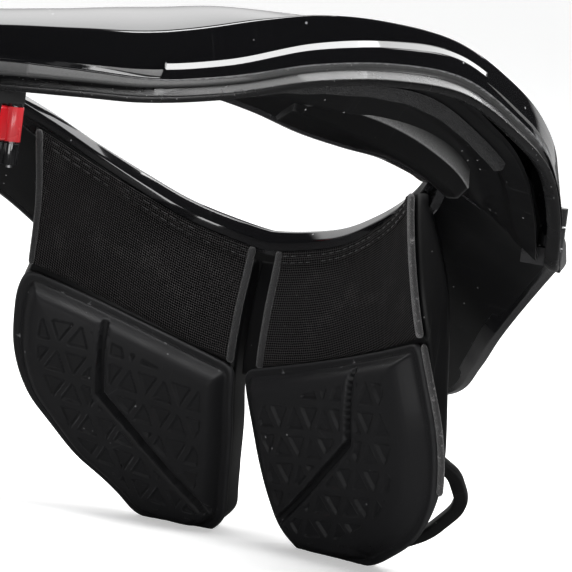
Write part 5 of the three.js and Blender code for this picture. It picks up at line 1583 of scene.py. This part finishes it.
def wall_places(spots, ring, widths):
    """How far spots lie inside the wall's top edge, and their place up the wall: 0 foot, 1 top."""
    marks = np.cumsum((0, FIELD_ACROSS, FIELD_DOWN, FIELD_ACROSS, FIELD_DOWN))
    closed = np.vstack((ring, ring[:1]))
    inside, place = np.inf, 0
    for start, end, width in zip(marks[:-1], marks[1:], widths):
        line = closed[start:end + 1:2]
        away = np.min([np.linalg.norm(spots - point, axis=-1) for point in line], axis=0)
        inside = np.minimum(inside, away - width)
        place = place + np.exp(-MITRE_SHARPNESS * away / width)
    return inside, -np.log(place) / MITRE_SHARPNESS


def pressed(spots, ring, widths):
    """Heights of the pad's face: walls, crowned field, the groove and the triangles."""
    inside, place = wall_places(spots, ring, widths)
    shares, levels = np.array(WALL_PROFILE).T
    swell = 1 - (1 - np.clip(inside / SWELL_WIDTH, 0, 1)) ** 2
    height = np.interp(place, shares, levels) + PAD_CROWN * swell
    groove = groove_distance(spots)
    sunk = 1 - ease(groove, -0.5, 0.2)
    floor_level = PAD_FACE + PAD_CROWN - GROOVE_DEPTH
    height = height - GROOVE_SIDE_DIP * (1 - ease(groove, 0.1, 1.3)) * (height > 8)
    height = np.where(height > floor_level, height - sunk * (height - floor_level), height)
    marks = np.maximum.reduce([triangle_distance(spots), GROOVE_CLEARANCE - groove, TRIANGLE_MARGIN - inside])
    return height - TRIANGLE_DEPTH * (1 - ease(marks, -0.4, 0.05))


def chest_pad(name, sign):
    """Skins the flange's rings, the face and a plain back into one closed pad."""
    border, inward = pad_border(sign)
    size = len(border)
    rings = [border + inward * offset for offset, level in FLANGE_RINGS]
    plain = patch_inside(rings[-1])
    face = snap(plain, groove_distance, (-0.5, 0.2), 0.2)
    face = snap(face, triangle_distance, (0.05, -0.4), 0.16)
    face[0], face[-1] = plain[0], plain[-1]
    face[:, 0], face[:, -1] = plain[:, 0], plain[:, -1]
    face_level = pressed(face, rings[-1], WALL_WIDTHS[sign])
    ring_points = [on_chest(sign, ring[:, 0], ring[:, 1], np.full(size, level))
                   for ring, (offset, level) in zip(rings, FLANGE_RINGS)]
    grid_points = on_chest(sign, face[..., 0], face[..., 1], face_level)
    middle = border.mean(0)
    back = on_chest(sign, middle[:1], middle[1:], np.array([SEAT_GAP]))
    points = np.concatenate(ring_points + [grid_points.reshape(-1, 3), back])
    faces = []
    for ring in range(len(rings) - 1):
        here, there = ring * size, (ring + 1) * size
        faces += [(here + i, here + (i + 1) % size, there + (i + 1) % size, there + i) for i in range(size)]
    grid = np.arange((FIELD_DOWN + 1) * (FIELD_ACROSS + 1)).reshape(FIELD_DOWN + 1, -1) + len(rings) * size
    quads = np.stack((grid[:-1, :-1], grid[1:, :-1], grid[1:, 1:], grid[:-1, 1:]), -1)
    faces += quads.reshape(-1, 4).tolist()
    rim = np.concatenate((grid[0, :-1], grid[:-1, -1], grid[-1, :0:-1], grid[:0:-1, 0])).tolist()
    last = (len(rings) - 1) * size
    faces += [(last + i, last + (i + 1) % size, rim[(i + 1) % size], rim[i]) for i in range(size)]
    faces += [((i + 1) % size, i, len(points) - 1) for i in range(size)]
    return make_mesh(name, points, faces, 180)


PAD_BINDING_ROWS = (3.05, 6.6)
binding_rows = np.linspace(*PAD_BINDING_ROWS, 70)
binding_x, binding_z = plate_spot(binding_rows, 1.0 + 0 * binding_rows, 0.0, 1)
binding_x = binding_x - table_reader(PAD_EDGE_ROWS[1])(binding_rows)[1] + 1.1
tape("pad_binding_right", 1, binding_x, binding_z, 0.9, 2.6, 1.6, sheen_and_fuzz_tape)
for side, sign in (("right", 1), ("left", -1)):
    pad = chest_pad(f"chest_pad_{side}_foam", sign)
    stand_for(pad, "front", pad_skin, "pad_foam", f"chest_pad_{side}")

# The strap loops: flat moulded bars, bent in straight runs, that stand out from the plates'
# outer edges near the foot, where a body strap is threaded.
LOOP_WIDTH = 4.8
LOOP_THICKNESS = 3.2

# The row that the bar is at, how far it stands out from the plate's edge as a share of
# PLATE_HALF_WIDTH, and how deep it lies as a share of PLATE_WALL.
LOOP_ROWS = [
    (5.9, -0.06, 0.3), (6.5, -0.035, 0.9), (7.25, 0, 1.2), (7.6, 0, 1.2), (8.35, -0.03, 1.1),
    (8.6, -0.09, 0.2),
]


def strap_loop(name, sign):
    """Bends a flat bar along the loop's rows, with its corners rounded off."""
    route = []
    for row, out, depth in LOOP_ROWS:
        x, z = plate_spot(float(row), 1.0, 0.0, sign)
        route.append(on_chest(sign, np.array(x + out * PLATE_HALF_WIDTH), np.array(z),
                              np.array(-depth * PLATE_WALL)) / MM)
    route = np.array(route)
    line = [route[0]]
    for before, corner, after in zip(route[:-2], route[1:-1], route[2:]):
        for share in np.linspace(0, 1, 7):
            start, end = corner + (before - corner) * 0.3, corner + (after - corner) * 0.3
            line.append((1 - share) ** 2 * start + 2 * share * (1 - share) * corner + share ** 2 * end)
    line = spread_evenly(np.array(line + [route[-1]]), 60)
    along = np.gradient(line, axis=0)
    along /= np.linalg.norm(along, axis=1, keepdims=True)
    plane = np.cross(route[2] - route[0], route[4] - route[2])
    plane /= np.linalg.norm(plane)
    beside = np.cross(along, plane)
    beside /= np.linalg.norm(beside, axis=1, keepdims=True)
    flat, edge = LOOP_WIDTH / 2, LOOP_THICKNESS / 2
    square = corners((-flat, -edge), (flat, -edge), (flat, edge), (-flat, edge))
    outline = rounded(square, (0.9,) * 4, 3)[0]
    rings = line[:, None] + outline[:, :1] * beside[:, None] + outline[:, 1:] * plane
    return skin(name, rings * MM, sharp_angle=40)


for side, sign in (("right", 1), ("left", -1)):
    loop = strap_loop(f"strap_loop_{side}_bar", sign)
    stand_for(loop, "front", satin_black, "satin_shell", f"strap_loop_{side}")

# The centre strip: a satin black spine in the channel between the two plates, with the
# bindings of both mesh panels glued down beside it.
STRIP_HALF_WIDTH = 3
strip_height = np.linspace(0.425 * PLATE_TOP, 0.72 * PLATE_TOP, 50)
strip_outline = rounded(corners((-STRIP_HALF_WIDTH, -4), (STRIP_HALF_WIDTH, -4), (STRIP_HALF_WIDTH, -2),
                                (-STRIP_HALF_WIDTH, -2)), (0.4, 0.4, 0.9, 0.9), 4)[0]
strip_rings = on_chest(1, strip_outline[None, :, 0] + 0 * strip_height[:, None],
                       strip_height[:, None] + 0 * strip_outline[None, :, 0],
                       strip_outline[None, :, 1] + 0 * strip_height[:, None])
centre_strip = skin("centre_strip_moulding", strip_rings)
stand_for(centre_strip, "front", satin_black, "satin_shell", "centre_strip")
